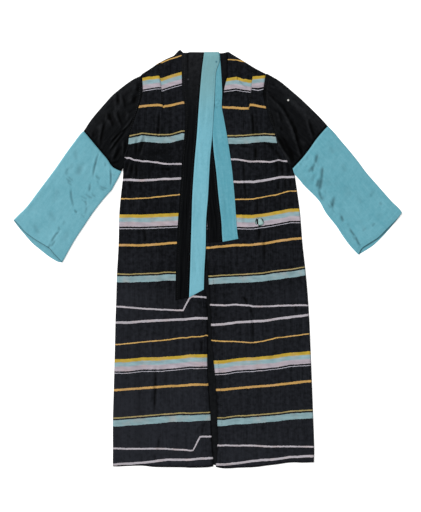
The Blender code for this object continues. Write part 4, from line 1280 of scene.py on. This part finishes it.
# Painted highlight: how much paler a collar strip is along its rolled sides.
ROLLED_EDGE_HIGHLIGHT = 0.35
COLLAR_END = {
    "right": CollarEnd((-95, 752), (-53.5, 744), (-9.5, 720)),
    "left": CollarEnd((94, 568), (47, 577), (2, 579)),
}
Neck = namedtuple("Neck", "down inner outer")
NECK = (
    Neck(NECK_EDGE, -60, 62), Neck(40, -58, 61), Neck(62, -20, 61), Neck(82, 4, 60.5), Neck(98, 14, 56),
    Neck(114, 22, 52), Neck(130, 28, 50), Neck(172, 37, 43),
)
COLLAR_CREASES = (
    (-57.5, -20, -58, 84, -1.8, 3.0, 0), (24, 157, 36, 149, -0.7, 2.2, 0),
    (34, 149, 42, 160, -0.6, 2.0, 0), (27, 168, 40, 161, -0.6, 2.0, 0),
    (26, 178, 33, 170, -0.4, 2.0, 0), (22, 132, 30, 140, -0.35, 2.4, 0),
    (-72, 80, -66, 190, 0.5, 5, 3), (-64, 300, -72, 420, 0.5, 5, -3),
    (-80, 500, -70, 640, 0.4, 6, 3), (27, 156, 40, 172, 0.8, 4, 2),
    (4, 150, -4, 240, 0.4, 5, -2), (-20, 260, -16, 380, 0.4, 5, 2),
    (-24, 420, -34, 520, 0.5, 5, -3), (-30, 560, -22, 690, 0.5, 6, 3),
    (40, 250, 54, 340, 0.5, 5, 3), (56, 400, 66, 520, 0.5, 6, -3),
)

cells = [int((high - low) / MAP_CELL) + 1 for low, high in zip(MAP_LOW, MAP_HIGH)]
map_lines = [low + MAP_CELL * np.arange(count) for low, count in zip(MAP_LOW, cells)]
map_x, map_down = np.meshgrid(*map_lines, indexing="ij")
lay_height = np.full(map_x.shape, FLAT_TOP)


def softened(heights):
    """The heights grown outwards by a few cells and then smoothed, as cloth bridges a step."""
    span = 2 * REACH + 1
    for gather in (np.max, np.mean):
        padded = np.pad(heights, REACH, mode="edge")
        windows = np.lib.stride_tricks.sliding_window_view(padded, (span, span))
        heights = gather(windows, axis=(2, 3))
    return heights


def sampled(heights, x, down):
    i = np.clip((x - MAP_LOW[0]) / MAP_CELL, 0, cells[0] - MAP_EDGE)
    j = np.clip((down - MAP_LOW[1]) / MAP_CELL, 0, cells[1] - MAP_EDGE)
    i0, j0 = i.astype(int), j.astype(int)
    return between(heights, i0, j0, i - i0, j - j0)


def strip_outline(left, right):
    """A strip's two sides and its two ends, the first of which follows the line of the neck."""
    left, right = smooth(left), smooth(right)
    for edge in (left, right):
        edge[0, 1] = np.interp(edge[0, 0], *np.transpose(NECK_LINE))
    turns = [place for place in NECK_LINE if left[0, 0] < place[0] < right[0, 0]]
    return left, right, np.array([left[0], *turns, right[0]]), np.array([left[-1], right[-1]])


def strip_lie(left, right, ends, x, down):
    """What a strip's own swell and creases add to its height, and the painted shade each place gets."""
    from_side = np.minimum(distance_to(left, x, down), distance_to(right, x, down))
    from_end = np.minimum(distance_to(ends[0], x, down), distance_to(ends[1], x, down))
    folds, painted_shade = creased(COLLAR_CREASES, x, down)
    soft = np.maximum(folds + swelling(x, down, *COLLAR_SWELLS, base=1), 0)
    soft = soft * ramp(from_side, SOFT_FROM_SIDE) * ramp(from_end, SOFT_FROM_END)
    return soft, painted_shade, from_side, from_end


def close_ring(piece):
    """Joins a ring's meeting points at both of its ends and turns all its faces outwards."""
    closed = bmesh.new()
    closed.from_mesh(piece.data)
    bmesh.ops.remove_doubles(closed, verts=closed.verts, dist=MM * MM)
    bmesh.ops.recalc_face_normals(closed, faces=closed.faces)
    closed.to_mesh(piece.data)
    closed.free()


def add_strip(name, left, right, below, material, slot_name, stitched, tones):
    """A doubled strip between two edges, laid over what lies below, thin at its rounded rim."""
    left, right, *ends = strip_outline(left, right)
    length = left[-1, 1] - left[0, 1]
    width = min(right[:, 0].max() - left[:, 0].min(), WIDEST_STRIP)
    u, v = np.meshgrid(spaced(width, COLLAR_STEP), spaced(length, COLLAR_STEP), indexing="ij")
    x, down = patch(left, right, *ends, u, v)
    soft, painted_shade, from_side, from_end = strip_lie(left, right, ends, x, down)
    rim = np.minimum(rounded(from_side, COLLAR_ROUND), rounded(from_end, COLLAR_ROUND))
    rest = sampled(softened(below), x, down) + COLLAR_GAP
    middle = rest - NECK_ROLL * (1 - ramp(down - NECK_EDGE, NECK_ROLL_LENGTH)) + COLLAR_WALL / 2
    upper = middle + COLLAR_WALL / 2 * rim + soft
    lower = middle - COLLAR_WALL / 2 * rim
    # Painted highlight: the strip made paler along its rolled sides.
    pale = tones[0] + ROLLED_EDGE_HIGHLIGHT * (1 - ramp(from_side, COLLAR_RIM_WIDTH))
    worn = tones[1] * np.interp(down, *COLLAR_WEAR[slot_name])
    if slot_name == "black_silk":
        inwards = ramp(x - NECK_SIDE_AT, NECK_SIDE_FADE)
        worn = worn * (NECK_SIDE_WEAR + (1 - NECK_SIDE_WEAR) * inwards)
        # Painted shade along each black strip's right-hand edge.
        painted_shade = painted_shade + COLLAR_RIM_SHADE * (1 - ramp(distance_to(right, x, down), COLLAR_RIM_WIDTH))
    ring = ring_of((x, down, upper, painted_shade, pale, worn), (x, down, lower, painted_shade, pale, worn))
    # Each point carries its painted shade, its paleness and its wear.
    values = dict(zip(("painted_shade", "pale", "worn"), ring[3:]))
    cloth_map = ring_map(u * width, down, width)
    piece = cloth_object(f"{name}_strip", *ring[:3], *cloth_map, material, ring=True, values=values)
    close_ring(piece)
    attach(piece, "root")
    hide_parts(name)
    grid = np.stack([x, down, upper], axis=-1)
    stitch_lines[slot_name.removesuffix("_silk")] += [grid[column, STRIP_STITCHED] for column in stitched]
    inside = map_x >= np.interp(map_down, left[:, 1], left[:, 0])
    inside &= map_x <= np.interp(map_down, right[:, 1], right[:, 0])
    inside &= (map_down >= NECK_EDGE) & (map_down <= max(left[-1, 1], right[-1, 1]))
    lie_here = strip_lie(left, right, ends, map_x, map_down)[0]
    top_here = sampled(softened(below), map_x, map_down) + COLLAR_GAP + COLLAR_WALL
    return np.where(inside, top_here + lie_here + COLLAR_SLACK, FLAT_TOP)


def collar_edge(side, column):
    return [(getattr(row, column), row.down) for row in COLLAR[side]] + [getattr(COLLAR_END[side], column)]


neck_lay = add_strip(
    "collar_neck", [(r.inner, r.down) for r in NECK], [(r.outer, r.down) for r in NECK],
    lay_height, BLACK, "black_silk", (), BLACK_TONES["left"],
)
for side in ("left", "right"):
    seam, join, free = (collar_edge(side, column) for column in ("seam", "join", "free"))
    below = np.maximum(neck_lay, lay_height)
    black_join = [(x - JOIN_GAP, down) for x, down in join]
    black_start, turquoise_end = (free, seam) if side == "left" else (seam, free)
    black_lay = add_strip(
        f"collar_{side}_black", black_start, black_join, below, BLACK, "black_silk", STITCHED_EDGES,
        BLACK_TONES[side],
    )
    turquoise_lay = add_strip(
        f"collar_{side}_turquoise", join, turquoise_end, below, TURQUOISE, "turquoise_silk", STITCHED_EDGES,
        COLLAR_TONES[side],
    )
    neck_lay = np.maximum(neck_lay, np.maximum(black_lay, turquoise_lay))

# The hand stitching: short running stitches of silk thread along the hems, the front edges,
# the tucks, the cuffs, the sleeve seams and both edges of the collar's strips.
STITCH_PITCH = 6.0
STITCH_LENGTH = 3.4
STITCH_THICKNESS = 0.7
STITCH_LIFT = 0.12
SMALLEST_STITCH, LARGEST_STITCH = 0.8, 1.15
TWIST_LIGHT = 1.5
BLACK_THREAD = (0.013, 0.0135, 0.016, 1)
TURQUOISE_THREAD = (0.110, 0.330, 0.390, 1)


def thread(name, colour):
    """Twisted silk thread, lighter and darker along its twist."""
    material, tree, shader = empty_material(name)
    place = node(tree, "ShaderNodeTexCoord").outputs["Object"]
    twist = cloudy(tree, place, scale=900.0, detail=2.0)
    light = tuple(min(1.0, TWIST_LIGHT * c) for c in colour[:3]) + (1,)
    tree.links.new(mixed(tree, twist, colour, light), shader.inputs["Base Color"])
    bump = node(tree, "ShaderNodeBump", {"Height": twist, "Strength": 0.5, "Distance": 0.0002})
    tree.links.new(bump.outputs[0], shader.inputs["Normal"])
    shader.inputs["Roughness"].default_value = 0.5
    shader.inputs["Specular IOR Level"].default_value = 0.25
    return material


def stitch_tree(material):
    """Geometry Nodes: even stitches along each line, each turned to it and a little uneven."""
    tree = bpy.data.node_groups.new(f"stitches_{material.name}", "GeometryNodeTree")
    face = tree.interface
    face.new_socket("Lines", in_out="INPUT", socket_type="NodeSocketGeometry")
    for label in ("Pitch", "Stitch Length", "Thickness"):
        face.new_socket(label, in_out="INPUT", socket_type="NodeSocketFloat")
    face.new_socket("Seed", in_out="INPUT", socket_type="NodeSocketInt")
    face.new_socket("Stitches", in_out="OUTPUT", socket_type="NodeSocketGeometry")
    given = tree.nodes.new("NodeGroupInput").outputs
    curves = node(tree, "GeometryNodeMeshToCurve", {"Mesh": given["Lines"]})
    pitched = {"Curve": curves.outputs[0], "Length": given["Pitch"]}
    spots = node(tree, "GeometryNodeCurveToPoints", pitched, mode="LENGTH")
    across = given["Thickness"]
    size = node(tree, "ShaderNodeCombineXYZ", {"X": across, "Y": across, "Z": given["Stitch Length"]})
    half_size = node(tree, "ShaderNodeVectorMath", {0: size.outputs[0], "Scale": 0.5}, operation="SCALE")
    bead = node(tree, "GeometryNodeMeshUVSphere", {"Segments": 6, "Rings": 4, "Radius": 1.0})
    grain = node(tree, "GeometryNodeTransform", {"Geometry": bead.outputs[0], "Scale": half_size.outputs[0]})
    sizes = {2: SMALLEST_STITCH, 3: LARGEST_STITCH, "Seed": given["Seed"]}
    uneven = node(tree, "FunctionNodeRandomValue", sizes, data_type="FLOAT")
    placed = node(
        tree, "GeometryNodeInstanceOnPoints",
        {"Points": spots.outputs["Points"], "Instance": grain.outputs[0],
         "Rotation": spots.outputs["Rotation"], "Scale": uneven.outputs[1]},
    )
    real = node(tree, "GeometryNodeRealizeInstances", {"Geometry": placed.outputs[0]})
    painted = node(tree, "GeometryNodeSetMaterial", {"Geometry": real.outputs[0], "Material": material})
    node(tree, "NodeGroupOutput", {"Stitches": painted.outputs[0]})
    return tree


def add_stitches(name, lines, material, seed, pitch=STITCH_PITCH):
    """Stitches along lines of places, as one plain mesh."""
    points, edges = [], []
    for line in lines:
        start = len(points)
        points += [(x * MM, (LENGTH / 2 - down) * MM, (z + STITCH_LIFT) * MM) for x, down, z in line]
        edges += [(k, k + 1) for k in range(start, len(points) - 1)]
    guide = bpy.data.meshes.new(name)
    guide.from_pydata(points, edges, [])
    stitches = bpy.data.objects.new(name, guide)
    bpy.context.scene.collection.objects.link(stitches)
    sewing = stitches.modifiers.new("sewing", "NODES")
    sewing.node_group = stitch_tree(material)
    sizes = {"Pitch": pitch, "Stitch Length": STITCH_LENGTH, "Thickness": STITCH_THICKNESS}
    for socket in sewing.node_group.interface.items_tree:
        if socket.name in sizes:
            sewing[socket.identifier] = sizes[socket.name] * MM
        elif socket.name == "Seed":
            sewing[socket.identifier] = seed
    evaluated = stitches.evaluated_get(bpy.context.evaluated_depsgraph_get())
    sewn = bpy.data.meshes.new_from_object(evaluated)
    stitches.modifiers.clear()
    stitches.data = sewn
    sewn.name = name
    sewn.shade_smooth()
    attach(stitches, "root")
    return stitches


add_stitches("stitches_black", stitch_lines["black"], thread("black_thread", BLACK_THREAD), 5)
add_stitches(
    "stitches_turquoise", stitch_lines["turquoise"], thread("turquoise_thread", TURQUOISE_THREAD),
    6,
)

# The mend on the left front: an oval patch of paler silk darned over a tear, with a ring of dark
# stitches round it. Part of the tear's dark slit is left open along the patch's inner side.
MEND_AT = (157.5, 517.0)
MEND_SIZE = (12.6, 13.0)
MEND_RINGS = 16
MEND_SPOKES = 72
MEND_HOLE, MEND_CROWDING = 0.02, 0.8
TWO_LOBED, FIVE_LOBED, LEAN = 0.04, 0.03, 0.6
CROWN_REACH = 1.1
MEND_LIFT, MEND_RISE, EDGE_LIFT = 0.15, 0.5, 0.1
MEND_WALL = 0.4
MEND_PITCH = 3.4
TEAR = ((151.6, 502.0), (151.2, 515.0), (152.2, 528.5))
TEAR_WIDTH, FRAYED, TEAR_DIP = 3.8, 0.3, 0.5
PATCH_BLUE = (0.300, 0.440, 0.425, 1)
RIM_TONE = 0.06
RIM_FROM, RIM_BLEND = 0.62, 0.16
RIM_SHARE, RIM_PATCHY = 0.62, 0.34
TEAR_BLACK = (0.002, 0.002, 0.003, 1)
MEND_THREAD = (0.006, 0.008, 0.010, 1)


def patch_silk():
    """Pale blue-green silk of the patch, darker round its rim and black in the tear beside it."""
    material, tree, shader = empty_material("mend_silk")
    weft_streak = silk_weave(tree, shader, coarse=90.0, strength=0.4)[2]
    deep = tuple(RIM_TONE * c for c in PATCH_BLUE[:3]) + (1,)
    tone = mixed(tree, carried(tree, "torn"), mixed(tree, carried(tree, "rim"), PATCH_BLUE, deep), TEAR_BLACK)
    finish_silk(tree, shader, tone, weft_streak, gloss=(0.45, 0.6), specular=0.08, sheen=0.0)
    return material


def add_mend():
    share = np.linspace(MEND_HOLE, 1, MEND_RINGS) ** MEND_CROWDING
    turn = np.linspace(0, 2 * np.pi, MEND_SPOKES, endpoint=False)[::-1]
    part, angle = np.meshgrid(share, turn)
    uneven = part * (1 + TWO_LOBED * np.sin(2 * angle + LEAN) + FIVE_LOBED * np.sin(5 * angle))
    x = MEND_AT[0] + MEND_SIZE[0] * uneven * np.cos(angle)
    down = MEND_AT[1] + MEND_SIZE[1] * uneven * np.sin(angle)
    crown = MEND_RISE * np.sqrt(np.maximum(1 - (part / CROWN_REACH) ** 2, 0))
    torn = 1 - ramp(distance_to(TEAR, x, down) - 0.5 * TEAR_WIDTH, FRAYED * TEAR_WIDTH)
    z = front_top("left", x, down)[0] + MEND_LIFT + crown - TEAR_DIP * torn
    patchy = RIM_SHARE + RIM_PATCHY * np.cos(3 * angle + np.pi / 2)
    rim = ramp(part - RIM_FROM, RIM_BLEND) * patchy
    cloth_map = (np.concatenate([grid, grid[:1]]) for grid in (x, down))
    values = {"rim": rim, "torn": torn}
    mend = cloth_object("mend_patch", x, down, z, *cloth_map, patch_silk(), ring=True, values=values)
    add_wall(mend, MEND_WALL)
    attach(mend, "root")
    edge = np.stack([x[:, -1], down[:, -1], z[:, -1] + EDGE_LIFT], axis=-1)[::-1]
    edge = np.concatenate([edge, edge[:1]])
    dark = thread("mend_thread", MEND_THREAD)
    add_stitches("mend_stitches", [edge], dark, 7, pitch=MEND_PITCH)


add_mend()
